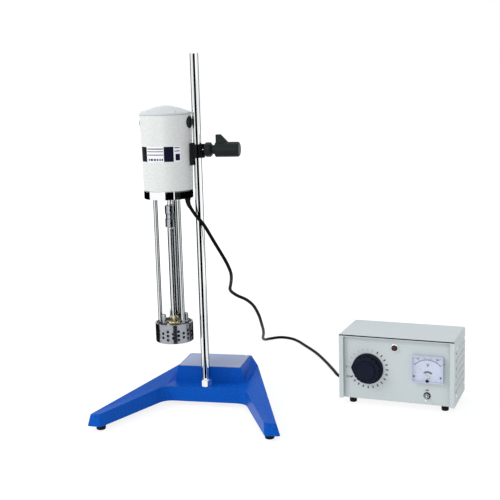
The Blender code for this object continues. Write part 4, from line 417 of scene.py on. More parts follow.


# motor lead; its route was chosen from the photograph, with places from the column's axis
lead = {"diameter": 6.8, "straight": 18.0, "rings": 150, "splitHeight": 300.0, "swivelTop": 392.0,
        "heightLow": 40.0, "glandRing": 41.6, "glandTurn": -12.0, "glandBend": 40.0, "glandHeading": -22.0,
        "glandLength": 16.0, "glandTop": 418.6, "boxExit": (-40.0, 85.05, 31.8),
        "route": [(11.5, -13.7, 369.5), (19.8, -13, 355), (28.5, -5.4, 335), (36.8, 7.3, 313),
                  (43.8, 26.7, 288), (45.7, 50, 264), (40.5, 74.6, 246), (33.4, 97, 230), (26.2, 119, 212),
                  (33.3, 143, 196), (47.1, 170, 181), (56.2, 200, 161), (60.3, 235, 131), (57.9, 271, 103),
                  (52.6, 312, 78), (44.5, 352, 57), (34, 394, 38.5), (25.5, 436, 21.5), (23, 474, 9.5),
                  (31, 505, 4.2), (52, 520.2, 3.7), (80, 512, 3.7), (103, 488, 3.7), (122, 458, 3.7),
                  (162, 392, 3.7), (198, 316, 3.7), (224, 254, 3.7), (238, 221, 3.7), (256, 202, 3.7),
                  (280, 200, 3.7), (303, 213, 4.7), (324, 226, 8.5), (347, 225, 15.5), (361, 211, 25)]}


def glandDirection(degrees):
    bend, heading = math.radians(degrees), math.radians(lead["glandHeading"])
    return Vector((math.cos(heading) * math.sin(bend), math.sin(heading) * math.sin(bend),
                   -math.cos(bend)))


def glandLine():
    turn = math.radians(lead["glandTurn"])
    line = [Vector((lead["glandRing"] * math.cos(turn), lead["glandRing"] * math.sin(turn),
                    lead["glandTop"]))]
    for k in range(5):
        line.append(line[-1] + glandDirection(lead["glandBend"] * (k + 0.5) / 5) * lead["glandLength"] / 5)
    return line, glandDirection(lead["glandBend"])


# evenly spaced points on a smooth curve through the route
def easeThrough(points, count):
    ends = [points[0] * 2 - points[1]] + points + [points[-1] * 2 - points[-2]]
    fine = []
    for a, b, c, d in zip(ends, ends[1:], ends[2:], ends[3:]):
        t1 = math.sqrt((b - a).length)
        t2 = t1 + math.sqrt((c - b).length)
        t3 = t2 + math.sqrt((d - c).length)
        for k in range(16):
            t = t1 + (t2 - t1) * k / 16
            a1 = a.lerp(b, t / t1)
            a2 = b.lerp(c, (t - t1) / (t2 - t1))
            a3 = c.lerp(d, (t - t2) / (t3 - t2))
            b1 = a1.lerp(a2, t / t2)
            b2 = a2.lerp(a3, (t - t1) / (t3 - t1))
            fine.append(b1.lerp(b2, (t - t1) / (t2 - t1)))
    fine.append(points[-1])
    travelled = [0.0]
    for p, q in zip(fine, fine[1:]):
        travelled.append(travelled[-1] + (q - p).length)
    result, index = [], 0
    for k in range(count):
        target = travelled[-1] * k / (count - 1)
        while index < len(fine) - 2 and travelled[index + 1] < target:
            index += 1
        span = travelled[index + 1] - travelled[index]
        result.append(fine[index].lerp(fine[index + 1], (target - travelled[index]) / span))
    return result


# a tube along the points, with a radius in mm at each
def drawTube(name, points, radii):
    curve = bpy.data.curves.new(name, "CURVE")
    curve.dimensions = "3D"
    curve.bevel_depth = mm
    curve.bevel_resolution = 6
    curve.use_fill_caps = True
    spline = curve.splines.new("POLY")
    spline.points.add(len(points) - 1)
    for target, point, radius in zip(spline.points, points, radii):
        target.co = (*(point * mm), 1)
        target.radius = radius
    obj = bpy.data.objects.new(name, curve)
    bpy.context.scene.collection.objects.link(obj)
    pick(obj)
    bpy.ops.object.convert(target="MESH")
    return bpy.context.object


def makeLead():
    line, leaving = glandLine()
    start = line[-1] + headPlace.translation / mm + leaving * 0.3
    outward = boxPlace.to_3x3() @ Vector((0, 1, 0))
    end = boxPlace @ (Vector(lead["boxExit"]) * mm) / mm + outward * 0.3
    route = [start, start + leaving * lead["straight"]]
    route += [Vector(p) + columnPlace.translation / mm for p in lead["route"]]
    route += [end + outward * lead["straight"], end]
    points = easeThrough(route, lead["rings"])
    split = next(k for k, p in enumerate(points) if p.z < lead["splitHeight"])
    middle = points[split].z
    # the lead is drawn in two parts, split where it drops below the split height
    parts = [("motorLeadTop", points[:split + 1], ("carriage", "head"), (middle, lead["swivelTop"])),
             ("motorLeadSheath", points[split:], ("stand", "carriage"), (lead["heightLow"], middle))]
    for name, part, bodies, span in parts:
        obj = drawTube(name, part, [lead["diameter"] / 2] * len(part))
        obj.data.materials.append(pvcSheath)
        bpy.ops.object.shade_smooth_by_angle(angle=math.radians(50))
        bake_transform(obj)
        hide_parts("motor_lead")


makeLead()

# cast base, plate and feet
stand = {"edge": 1.5, "edgeShortest": 6, "edgeLowest": 8.5, "footRadius": 9.0, "footTop": 9.2,
         "plateScrew": (57.0, 114.0, 71.8)}


# four rubber feet, each where the CAD has its own
def makeFeet(node, name, profile):
    for corner in ("front_left", "front_right", "rear_left", "rear_right"):
        low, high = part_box(node + corner)
        middle = (low + high) / 2
        settle(turnProfile(profile, 48), Matrix.Translation((middle.x, middle.y, 0)), name + corner,
               mouldedRubber, "stand", node + corner)


def makeStand():
    casting = roundLong(fromNode("base_casting"), stand["edge"], stand["edgeShortest"], stand["edgeLowest"])
    dress(finishEdges(casting, smooth=38), "baseCasting", stoveEnamel, "stand", "base_casting")
    fineNode("name_plate", "namePlate", anodisedPlate, "stand", 0.25)
    r, top = stand["footRadius"], stand["footTop"]
    makeFeet("stand_foot_", "standFoot_", [(0, 0), (r - 1.6, 0), (r - 0.5, 0.7), (r, 2.4), (r, top - 2.2),
                                           (r - 1, top), (2.8, top), (2.8, top + 7), (0, top + 7)])
    x, y, z = stand["plateScrew"]
    screw = turnProfile([(0, 0), (2.6, 0), (2.6, 0.5), (2.0, 1.1), (0, 1.3)], 32)
    settle(screw, columnPlace @ shift(x, y, z), "plateScrew", machinedBrass, "stand")


makeStand()

# column with its hexagonal foot collar
column = {"radius": 8.0, "top": 698.0, "foot": 40.3, "collarFlats": 20.0, "collarHeight": 14.0}


def makeColumn():
    r, top, foot = column["radius"], column["top"], column["foot"]
    rod = turnProfile([(0, 11), (6, 11), (6, foot), (r, foot), (r, top - 1.6), (r - 0.5, top - 0.7),
                       (r - 1.5, top), (0, top)], 72)
    settle(rod, columnPlace, "columnRod", brightChrome, "stand", "column")
    flats, high = column["collarFlats"], column["collarHeight"]
    collar = makeHexagon(flats, high)
    moveTo(collar, spun(30))
    cone = turnProfile([(0, -high / 2), (flats / 2 - 0.4, -high / 2), (flats / 2 + 1.6, -high / 2 + 1.2),
                        (flats / 2 + 1.6, high / 2 - 1.2), (flats / 2 - 0.4, high / 2), (0, high / 2)], 72)
    carveWith(collar, cone, "INTERSECT")
    bore = turnProfile([(0, -high), (r + 0.3, -high), (r + 0.3, high), (0, high)], 72)
    carveWith(collar, bore)
    settle(collar, columnPlace @ shift(0, 0, foot + high / 2), "columnCollar", brightChrome, "stand",
           "column_collar", edge=0.25)
    wearNode("column_nut", groundSteel)


makeColumn()
print("stand made")

# motor head: spun shell, lid, end ring
motor = {"low": 437.9, "high": 582.9, "bottomRadius": 48.5, "topRadius": 50.2, "bore": 45.5,
         "lidRadius": 51.0, "lidLow": 583.2, "lidRim": 3.0, "lidRise": 14.0,
         "ringLow": 421.4, "ringHeight": 16.2, "ringRadius": 48.0,
         "brushHeight": 567.9, "brushTurn": -8.0, "capRadius": 11.5, "capFace": 52.0,
         "airHole": 6.5, "airRing": 30.0, "airTurns": (-93, 42, 147),
         "wellStart": 36.0, "seatStart": 38.0, "seatRadius": 13.4, "ringBore": 6.0, "spigot": 45.2,
         "lidScrewRing": 45.5, "lidScrewTilt": 24.0, "lidScrewTurns": (-52, -172, 68)}


def radiusAt(z):
    share = (z - motor["low"]) / (motor["high"] - motor["low"])
    return motor["bottomRadius"] + share * (motor["topRadius"] - motor["bottomRadius"])


def makeMotor():
    low, high, bore = motor["low"], motor["high"], motor["bore"]
    shell = turnProfile([(bore, low), (radiusAt(low) - 0.5, low), (radiusAt(low), low + 0.5),
                         (radiusAt(high), high - 0.5), (radiusAt(high) - 0.5, high), (bore, high),
                         (bore, low)], 128)
    for side in (0, 180):
        out = spun(motor["brushTurn"] + side)
        r = motor["capRadius"] + 0.3
        well = turnProfile([(0, 0), (r, 0), (r, 30), (0, 30)], 48)
        moveTo(well, out @ shift(motor["wellStart"], 0, motor["brushHeight"]) @ turnToX)
        carveWith(shell, well)
        r = motor["seatRadius"]
        seat = turnProfile([(8, 0), (r, 0), (r, 6.4), (r - 1.4, 6.4), (r - 1.4, 3), (8, 3), (8, 0)], 48)
        settle(seat, headPlace @ out @ shift(motor["seatStart"], 0, motor["brushHeight"]) @ turnToX,
               "brushSeat_" + str(side), bakedEnamel, "head")
    settle(shell, headPlace, "motorShell", bakedEnamel, "head", "motor_housing")

    rim, base, rise = motor["lidRadius"], motor["lidLow"], motor["lidRise"]
    shoulder = base + motor["lidRim"]
    dome = [(rim * k / 16, shoulder + rise * (1 - (k / 16) ** 1.7)) for k in range(16)]
    lid = turnProfile(dome + [(rim - 0.4, shoulder + 0.45), (rim, shoulder - 0.3), (rim, base + 0.3),
                              (rim - 0.3, base), (bore - 0.3, base), (bore - 0.3, base - 1.2),
                              (11.3, base - 1.2), (11.3, base + 8.8), (0, base + 8.8)], 128)
    settle(lid, headPlace, "motorLid", lidEnamel, "head", "motor_lid", smooth=50)
    for k, angle in enumerate(motor["lidScrewTurns"]):
        screw = turnProfile([(0, -0.4), (3.0, -0.4), (3.0, 0.6), (2.4, 1.3), (1.2, 1.7), (0, 1.8)], 32)
        carveWith(screw, cubeBetween((-4, -0.45, 0.9), (4, 0.45, 3)))
        place = headPlace @ spun(angle) @ shift(motor["lidScrewRing"], 0, shoulder + 2.6)
        settle(screw, place @ spun(motor["lidScrewTilt"], "Y"), "lidScrew_%d" % k, groundSteel, "head")

    low, r, bore, spigot = motor["ringLow"], motor["ringRadius"], motor["ringBore"], motor["spigot"]
    top = low + motor["ringHeight"]
    ring = turnProfile([(bore, low), (r - 1.6, low), (r - 0.5, low + 0.4), (r, low + 1.5), (r, top - 1.2),
                        (r - 0.5, top - 0.7), (r - 0.5, top), (spigot, top), (spigot, top + 4.5),
                        (43, top + 4.5), (43, low + 4), (16, low + 4), (16, low + 12.3), (13.3, low + 12.3),
                        (13.3, low + 4), (bore, low + 4), (bore, low)], 128)
    holes = [(4.3, lead["glandRing"], lead["glandTurn"])]
    holes += [(motor["airHole"], motor["airRing"], turn) for turn in motor["airTurns"]]
    for size, reach, turn in holes:
        hole = turnProfile([(0, -2), (size, -2), (size, 6), (0, 6)], 40)
        moveTo(hole, spun(turn) @ shift(reach, 0, low))
        carveWith(ring, hole)
    settle(ring, headPlace, "motorEndRing", brightChrome, "head", "motor_end_ring")

    r, face = motor["capRadius"], motor["capFace"]
    for side, turn in (("right", 0), ("left", 180)):
        cap = turnProfile([(0, 45), (r, 45), (r, face - 1.2), (r - 0.5, face - 0.4), (r - 1.4, face),
                           (5.2, face), (4.6, face - 0.5), (0, face - 0.5)], 64)
        carveWith(cap, cubeBetween((-r - 2, -1.2, face - 1.1), (r + 2, 1.2, face + 2)))
        place = headPlace @ spun(motor["brushTurn"] + turn) @ shift(0, 0, motor["brushHeight"])
        settle(cap, place @ turnToX, "brushCap_" + side, mouldedAbs, "head", "brush_cap_" + side)

    line, leaving = glandLine()
    path = [line[0] + Vector((0, 0, 2.5)), line[0] + Vector((0, 0, 0.1))] + line
    gland = drawTube("leadGland", path, [6.0, 6.0, 5.2, 4.9, 4.6, 4.3, 4.0, 3.8])
    settle(gland, headPlace, "leadGland", mouldedRubber, "head", "motor_gland", smooth=40)


makeMotor()

# label on the shell: bare film with plain printed blocks and rules
label = {"low": 494.3, "high": 524.3, "start": -152.0, "end": -40.5,
         "blocks": [("black", -146.5, -123.2, 495.0, 523.6), ("navy", -79.6, -58.0, 495.0, 523.6),
                    ("navy", -53.7, -43.0, 497.0, 509.5)],
         "rules": [(-121.0, -81.0, 519.8, 0.9), (-121.0, -81.0, 514.6, 0.7), (-121.0, -81.0, 508.4, 0.8),
                   (-56.0, -43.5, 521.2, 0.8), (-56.0, -43.5, 515.0, 0.8)],
         "dashes": [(-118.0, 3.5), (-112.0, 6.0), (-103.5, 5.0), (-96.0, 3.5), (-90.0, 3.0), (-85.0, 3.0)],
         "dashRow": (497.2, 501.2), "filmProud": 0.18, "printProud": 0.26, "gap": 0.03, "step": 2.5}


def bendPatch(startAngle, endAngle, low, high, proud):
    bottom, top, gap = radiusAt(low), radiusAt(high), label["gap"]
    profile = [(bottom + gap, low), (bottom + proud, low), (top + proud, high), (top + gap, high),
               (bottom + gap, low)]
    steps = max(3, round((endAngle - startAngle) / label["step"]))
    return turnProfile(profile, steps, endAngle - startAngle, startAngle)


def makeLabel():
    sheet = bendPatch(label["start"], label["end"], label["low"], label["high"], label["filmProud"])
    settle(sheet, headPlace, "shellLabel", vinylWhite, "head", smooth=30)
    proud = label["printProud"]
    for k, (ink, a, b, low, high) in enumerate(label["blocks"]):
        block = bendPatch(a, b, low, high, proud)
        mat = vinylBlack if ink == "black" else vinylInk
        settle(block, headPlace, "labelBlock_%d" % k, mat, "head", smooth=30)
    rules = [bendPatch(a, b, z - thick, z + thick, proud) for a, b, z, thick in label["rules"]]
    low, high = label["dashRow"]
    rules += [bendPatch(a, a + span, low, high, proud) for a, span in label["dashes"]]
    settle(joinAll(rules), headPlace, "labelRules", vinylInk, "head", smooth=30)


makeLabel()
inside = {"carbon_brush_left": pressedCarbon, "carbon_brush_right": pressedCarbon,
          "field_stator": varnishedIron, "commutator": drawnCopper, "cooling_fan": mouldedAbs,
          "upper_bearing": groundSteel, "lower_bearing": groundSteel}
for node, mat in inside.items():
    wearNode(node, mat)
print("motor made")

# rods, drive and working head
head = {"plateTop": 168.5, "rodRadius": 4.1, "rodRing": 27.5, "rodTurns": (-153, -33, 87),
        "rodLow": 164.8, "rodTenon": 2.5, "nutRing": 25.6, "nutFlats": 10.0, "nutDome": 4.5,
        "nutTurns": (-123, -3, 117), "mouth": 134.5, "height": 38.0, "radius": 37.6, "wall": 2.5,
        "holes": 22, "holeRadius": 2.5, "holeLow": 8.0, "holePitch": 8.4, "holeTurn": -77.0,
        "couplingTop": 406.9, "couplingLength": 44.0, "couplingRadius": 9.25, "couplingBore": 5.3,
        "grubTurns": (-62, 118), "shaftRadius": 5.75, "shaftLow": 137.5}
armature = {"low": 385.2, "high": 591.7, "shaft": 5.0, "radius": 26.0, "coreLow": 473.4, "coreHigh": 533.4}


def makeWorkingHead():
    top = head["plateTop"]
    r, foot, tenon = head["rodRadius"], head["rodLow"], head["rodTenon"]
    high = motor["ringLow"] - 0.3
    for k, angle in enumerate(head["rodTurns"], 1):
        rod = turnProfile([(0, foot), (tenon, foot), (tenon, top + 0.3), (r, top + 0.3), (r, high),
                           (tenon, high), (tenon, high + 4), (0, high + 4)], 40)
        settle(rod, headPlace @ spun(angle) @ shift(head["rodRing"], 0, 0), "supportRod_%d" % k,
               groundSteel, "head", "support_rod_%d" % k)
    low, r = top + 0.3, head["nutDome"]
    for k, angle in enumerate(head["nutTurns"], 1):
        dome = [(r * math.cos(math.pi / 12 * i), low + 19 + r * math.sin(math.pi / 12 * i))
                for i in range(6)]
        cap = turnProfile([(0, low - 3.9), (2, low - 3.9), (2, low), (4.2, low), (4.2, low + 8),
                           (r, low + 9)] + dome + [(0, low + 19 + r)], 40)
        hexagon = finishEdges(makeHexagon(head["nutFlats"], 8, low + 4), 0.5)
        carveWith(cap, hexagon, "UNION")
        settle(cap, headPlace @ spun(angle) @ shift(head["nutRing"], 0, 0), "capNut_%d" % k,
               turnedStainless, "head", "cap_nut_%d" % k)

    low, outer, inner = head["mouth"], head["radius"], head["radius"] - head["wall"]
    high = low + head["height"]
    seat = top - 4.3  # just under the head plate
    ring = turnProfile([(inner, low), (outer - 0.3, low), (outer, low + 0.3), (outer, high - 0.3),
                        (outer - 0.3, high), (inner + 0.2, high), (inner, high - 0.3), (inner, seat),
                        (inner - 2, seat), (inner - 2, seat - 2.5), (inner, seat - 4.5), (inner, low)], 132)
    r, drills = head["holeRadius"], []
    for k in range(head["holes"]):
        rows = 3 if k % 2 else 2
        lowest = head["holeLow"] + (0 if rows == 3 else head["holePitch"] / 2)
        for row in range(rows):
            drill = turnProfile([(0, -4), (r, -4), (r, 0.4), (r + 0.6, 1.0), (r + 0.6, 4), (0, 4)], 20)
            moveTo(drill, spun(head["holeTurn"] + 360 / head["holes"] * k)
                   @ shift(outer - 1, 0, low + lowest + row * head["holePitch"]) @ turnToX)
            drills.append(drill)
    carveWith(ring, joinAll(drills))
    settle(ring, headPlace, "statorRing", turnedStainless, "head", "stator_ring", smooth=32)
    # the hole walls take the painted shade, a near black finish that stands in for the shade inside the
    # holes
    ring.data.materials.append(paintedHoleShade)  # on the faces inside the wall
    for face in ring.data.polygons:
        place = face.center - headPlace.translation
        if inner + 0.3 < place.xy.length / mm < outer - 0.12 and low + 1 < place.z / mm < high - 1:
            face.material_index = 1

    fineNode("head_plate", "headPlate", turnedStainless, "head", 0.2)
    r = head["shaftRadius"] + 0.4
    bush = turnProfile([(r, top - 4), (7.5, top - 4), (7.5, top + 0.3), (11, top + 0.3), (11, top + 2.0),
                        (10.6, top + 2.3), (8.0, top + 2.6), (7.5, top + 3.3), (7.5, top + 13.4),
                        (7.0, top + 14), (r, top + 14), (r, top - 4)], 64)
    settle(bush, headPlace, "headBush", machinedBrass, "head", "head_bush")
    fineNode("rotor_blade", "rotorBlade", turnedStainless, "drive", 0.25)

    high = head["couplingTop"]
    low, r, shaft = high - head["couplingLength"], head["couplingRadius"], head["shaftRadius"]
    middle = (low + high) / 2
    bore = head["couplingBore"]
    sleeve = turnProfile([(bore, low), (r - 1.2, low), (r, low + 1.2), (r, middle - 5.5),
                          (r - 1.2, middle - 4.3), (r - 1.2, middle + 4.3), (r, middle + 5.5),
                          (r, high - 1.2), (r - 1.2, high), (bore, high), (bore, low)], 64)
    for turn, z in [(turn, z) for turn in head["grubTurns"] for z in (high - 9, low + 8)]:
        screwHole = makeCylinder(24, 2.2, 5)
        moveTo(screwHole, spun(turn) @ shift(r, 0, z) @ turnToX)
        carveWith(sleeve, screwHole)
        grub = turnProfile([(0, 0), (2.0, 0), (2.0, 0.9), (1.1, 0.9), (1.1, 0.2), (0, 0.2)], 24)
        place = headPlace @ spun(turn) @ shift(r - 2.2, 0, z) @ turnToX
        settle(grub, place, "grubScrew_%d_%d" % (turn, z), castEnamel, "drive")
    settle(sleeve, headPlace, "couplingSleeve", turnedStainless, "drive", "shaft_coupling")
    low = head["shaftLow"]
    rod = turnProfile([(0, low), (shaft - 0.5, low), (shaft, low + 0.5), (shaft, middle - 0.3),
                       (0, middle - 0.3)], 56)
    settle(rod, headPlace, "driveShaft", groundSteel, "drive", "drive_shaft")
    low, high, shaft = armature["low"], armature["high"], armature["shaft"]
    r, start, end = armature["radius"], armature["coreLow"], armature["coreHigh"]
    core = turnProfile([(0, low), (shaft, low), (shaft, start), (r, start), (r, end), (shaft, end),
                        (shaft, high), (0, high)], 64)
    settle(core, headPlace, "motorShaft", groundSteel, "drive", "armature", slot="iron_winding")


makeWorkingHead()
print("working head made")

# clamp: liner, bracket, stud, lock nut and winged handle
clamp = {"height": 514.3, "nutLow": 15.3, "nutHigh": 29.3, "nutRadius": 14.5, "neck": 8.75,
         "bodyStart": 36.6, "bodyEnd": 84.1, "grip": 14.5, "finTop": 29.0, "finTopLength": 10.6,
         "finFootLength": 24.5, "finThickness": 9.0, "studRadius": 3.1, "studStart": 10.1, "studEnd": 56.6,
         "threadRoot": 2.8, "threadPitch": 0.7, "threadEnd": 15.4, "handleStart": 30.1, "handleBore": 3.4,
         "boreEnd": 56.9}


def makeClamp():
    axis = columnPlace @ shift(0, 0, clamp["height"])
    wearNode("clamp_liner", blackAcetal)
    fineNode("clamp_bracket", "clampBracket", castEnamel, "head", 0.4)

    r, root, pitch = clamp["studRadius"], clamp["threadRoot"], clamp["threadPitch"]
    start, end = clamp["studStart"], clamp["studEnd"]
    threads = []
    x = start
    while x + pitch / 2 < clamp["threadEnd"]:
        threads += [(r, x), (root, x + pitch / 2)]
        x += pitch
    stud = turnProfile([(0, start)] + threads + [(r, clamp["threadEnd"]), (r, end), (0, end)], 40)
    settle(stud, axis @ turnToX, "clampStud", brightChrome, "handle", "clamp_stud")

    low, high, r = clamp["nutLow"], clamp["nutHigh"], clamp["nutRadius"]
    nut = makeCylinder(8, r, high - low, (low + high) / 2)
    cone = turnProfile([(0, low), (r - 3.2, low), (r + 0.2, low + 3.2), (r + 0.2, high - 3.2),
                        (r - 3.2, high), (0, high)], 64)
    carveWith(nut, cone, "INTERSECT")
    carveWith(nut, turnProfile([(0, low - 2), (3.5, low - 2), (3.5, high + 2), (0, high + 2)], 40))
    flutes = []
    for k in range(8):
        flute = makeCylinder(16, 1.3, 20, (low + high) / 2)
        moveTo(flute, spun(45 * k) @ shift(r + 0.4, 0, 0))
        flutes.append(flute)
    carveWith(nut, joinAll(flutes))
    settle(nut, axis @ turnToX, "clampLockNut", mouldedAbs, "lock_nut", "clamp_lock_nut", edge=0.35)

    start, end, grip, neck = clamp["bodyStart"], clamp["bodyEnd"], clamp["grip"], clamp["neck"]
    back, bore, depth = clamp["handleStart"], clamp["handleBore"], clamp["boreEnd"]
    rounded = [(grip - 4 + 4 * math.cos(math.pi / 12 * k), end - 4 + 4 * math.sin(math.pi / 12 * k))
               for k in range(7)]
    handle = turnProfile([(bore, back), (neck - 0.6, back), (neck, back + 0.7), (neck, start - 0.6),
                          (neck + 0.6, start), (grip - 1, start), (grip, start + 1)] + rounded
                         + [(0, end), (0, depth), (bore, depth), (bore, back)], 64)
    top, thick = clamp["finTop"], clamp["finThickness"]
    topEnd, footEnd = start + clamp["finTopLength"], start + clamp["finFootLength"]
    fin = traceOutline([(start + 1, 7), (start + 1, top), (topEnd, top), (footEnd, grip), (footEnd, 7),
                        (start + 1, 7)], -thick / 2, thick / 2)
    finishEdges(fin, 1.4, 4)
    moveTo(handle, turnToX)
    carveWith(handle, fin, "UNION")
    settle(handle, axis, "clampHandle", mouldedAbs, "handle", "clamp_handle")


makeClamp()
print("clamp made")

# control box shell
box = {"width": 228.5, "depth": 119.5, "height": 131.8, "louvres": 6, "louvreLow": 24.0,
       "louvrePitch": 15.5, "louvreLength": 88.0, "louvreHeight": 3.0, "footRadius": 7.2, "footTop": 13.0,
       "flange": 9.0, "hoodOut": 2.2, "hoodSlope": 1.6, "screwDepths": (25, 112.5),
       "screwHeights": (18, 111.5)}


def makeBox():
    fineNode("box_cover", "boxCover", sheetEnamel, "stand", 0.35)
    fineNode("box_chassis", "boxChassis", zincSheet, "stand", 0.3)
    fineNode("front_panel", "frontPanel", sheetEnamel, "stand", 0.3)
    half = box["width"] / 2
    front, top = -box["depth"] / 2, boxFloor + box["height"]
    for side in (-1, 1):
        inner, outer = half - box["flange"], half - 0.4
        flange = cubeBetween((min(side * inner, side * outer), front + 0.1, boxFloor + 0.4),
                             (max(side * inner, side * outer), front + 1.3, top - 1.6))
        settle(flange, boxPlace, "coverFlange_%d" % (side + 1), sheetEnamel, "stand", edge=0.35)
    # painted shadow: a thin black strip under the cover's front lip stands in for the shade that falls
    # there
    lipShade = cubeBetween((-half + 0.8, front - 0.3, top - 3.5), (half - 0.8, front + 0.8, top - 1.3))
    settle(lipShade, boxPlace, "panelLipShadow", castEnamel, "stand", slot="black_rubber", edge=0.2)
    turns = [math.pi / 2 * i / 5 for i in range(6)]
    arc = [(box["hoodOut"] * math.sin(t), box["hoodOut"] * math.cos(t) * box["hoodSlope"]) for t in turns]
    reach = box["louvreLength"] / 2 + 2
    hoods = []
    for side in (-1, 1):
        for k in range(box["louvres"]):
            z = boxFloor + box["louvreLow"] + k * box["louvrePitch"] + box["louvreHeight"]
            points = [(side * half, z + 3.6)] + [(side * (half + a), z + b - 0.4) for a, b in arc]
            points += [(side * (half + 1.4), z - 0.6), (side * (half + 1.2), z), (side * half, z + 1.6)]
            hoods.append(finishEdges(traceOutline(points + [points[0]], -reach, reach), 0.3))
    settle(joinAll(hoods), boxPlace, "louvreHoods", sheetEnamel, "stand")
    screws = [(depth, up) for depth in box["screwDepths"] for up in box["screwHeights"]]
    for side in (-1, 1):
        for k, (depth, up) in enumerate(screws):
            screw = turnProfile([(0, -0.6), (3.2, -0.6), (3.2, 0.1), (2.6, 0.6), (1.3, 0.9), (0, 0.95)], 32)
            carveWith(screw, cubeBetween((-4, -0.5, 0.4), (4, 0.5, 3)))
            place = boxPlace @ shift(side * half, depth - box["depth"] / 2, boxFloor + up)
            settle(screw, place @ spun(90 * side, "Y"), "sideScrew_%d_%d" % (side + 1, k), brightChrome,
                   "stand")
    r, top = box["footRadius"], box["footTop"]
    makeFeet("box_foot_", "boxFoot_", [(0, 0), (r - 1.2, 0), (r - 0.4, 0.6), (r, 1.8), (r, top - 1),
                                       (r - 0.5, top), (0, top)])
    fineNode("mains_inlet", "mainsInlet", mouldedAbs, "stand", 0.4)
    back = box["depth"] / 2
    exitX, _, exitZ = lead["boxExit"]
    gland = turnProfile([(0, back - 5), (4.5, back - 5), (4.5, back - 1.7), (7.5, back - 1.7),
                         (7.5, back + 0.6), (7.0, back + 1.3), (5.2, back + 1.3), (5.2, back + 3.5),
                         (4.7, back + 4.3), (5.0, back + 5.4), (4.6, back + 7.6), (4.7, back + 9),
                         (4.3, back + 11), (4.4, back + 13), (4.0, back + 17), (3.8, back + 24.5),
                         (3.4, back + 25.3), (0, back + 25.3)], 48)
    settle(gland, boxPlace @ shift(exitX, 0, exitZ) @ turnToY, "boxLeadGland", mouldedRubber, "stand",
           "box_gland")
    wearNode("variac_core", varnishedIron)


makeBox()
print("box made")

# knob with its printed scale
knob = {"at": (-57.0, 76.3), "skirt": 31.0, "nose": 34.0, "body": 26.0, "flutes": 18,
        "fluteRadius": 4.0, "fluteDepth": 1.5, "back": -0.6, "skirtFront": -4.6, "bodyFront": -18.6,
        "capFront": -21.6, "tickRing": 38.4, "ticks": 23, "tickStep": 15.0,
        "numbers": [("0", -43.8, 0.0), ("250", -40.6, -20.0)], "numberSize": 6.2}
ink = {"thickness": 0.1, "proud": 0.08, "spreadShare": 0.03}


# print in ink, a hair proud of the face it is on
def printFlat(name, text, size, x, z, face, mat):
    deselect()
    bpy.ops.object.text_add(rotation=(math.radians(90), 0, 0))
    obj = bpy.context.object
    obj.data.body = text
    obj.data.size = size * mm
    obj.data.align_x = "CENTER"
    obj.data.align_y = "CENTER"
    obj.data.offset = ink["spreadShare"] * size * mm
    obj.data.extrude = ink["thickness"] * mm
    bpy.ops.object.convert(target="MESH")
    obj = bpy.context.object
    obj.location = Vector((x, face - ink["proud"], z)) * mm
    bpy.ops.object.transform_apply(location=True, rotation=True, scale=True)
    moveTo(obj, panelPlace)
    return dress(obj, name, mat, "stand")


def makeKnob():
    x, z = knob["at"]
    centre = panelPlace @ shift(x, 0, z)
    r, front, back = knob["skirt"], knob["skirtFront"], knob["back"]
    skirt = turnProfile([(0, back), (r, back), (r, front + 1.2), (r - 0.4, front + 0.4), (r - 1.3, front),
                         (0, front)], 128)
    moveTo(skirt, turnToY)
    reach = r * math.sqrt(1 - (r / knob["nose"]) ** 2)
    root = r * r / knob["nose"]
    outline = [(-root, -reach), (-knob["nose"], 0), (-root, reach), (-root, -reach)]
    nose = traceOutline(outline, front + 0.3, back - 0.3)
    carveWith(skirt, finishEdges(nose, 0.4), "UNION")
    grip, face, cap = knob["body"], knob["bodyFront"], knob["capFront"]
    body = turnProfile([(0, front + 0.6), (grip, front + 0.6), (grip, face + 1.0), (grip - 0.3, face + 0.4),
                        (grip - 1.0, face), (19.6, face), (19.0, face + 0.3), (18.6, cap + 1.0),
                        (17.8, cap), (17.0, cap + 0.3), (0, cap + 0.3)], 144)
    r, flutes = knob["fluteRadius"], []
    fluteRing = grip + r - knob["fluteDepth"]
    for k in range(knob["flutes"]):
        flute = turnProfile([(0, face - 2), (r, face - 2), (r, front - 1.2), (0, front - 1.2)], 32)
        moveTo(flute, spun(360 * k / knob["flutes"]) @ shift(fluteRing, 0, 0))
        flutes.append(flute)
    carveWith(body, joinAll(flutes))
    moveTo(body, turnToY)
    carveWith(skirt, body, "UNION")
    settle(skirt, centre, "controlKnob", knobPhenolic, "knob", "control_knob", smooth=32)
    wearNode("variac_shaft", groundSteel)

    worn, bold = [], []
    for k in range(knob["ticks"]):
        turn = 180 - knob["tickStep"] * k
        thin = turn > 68
        length, width = (3.8, 0.8) if thin else (5.0, 2.1)
        tick = cubeBetween((knob["tickRing"] - length / 2, -0.2, -width / 2),
                           (knob["tickRing"] + length / 2, 0.05, width / 2))
        moveTo(tick, spun(-turn, "Y"))
        (worn if thin else bold).append(tick)
    for name, ticks, mat in (("wornScale", worn, wornInk), ("knobScale", bold, darkInk)):
        settle(joinAll(ticks), centre, name, mat, "stand", edge=0.08)
    for text, dx, dz in knob["numbers"]:
        printFlat("scaleNumber_" + text, text, knob["numberSize"], x + dx, z + dz, 0, wornInk)


makeKnob()

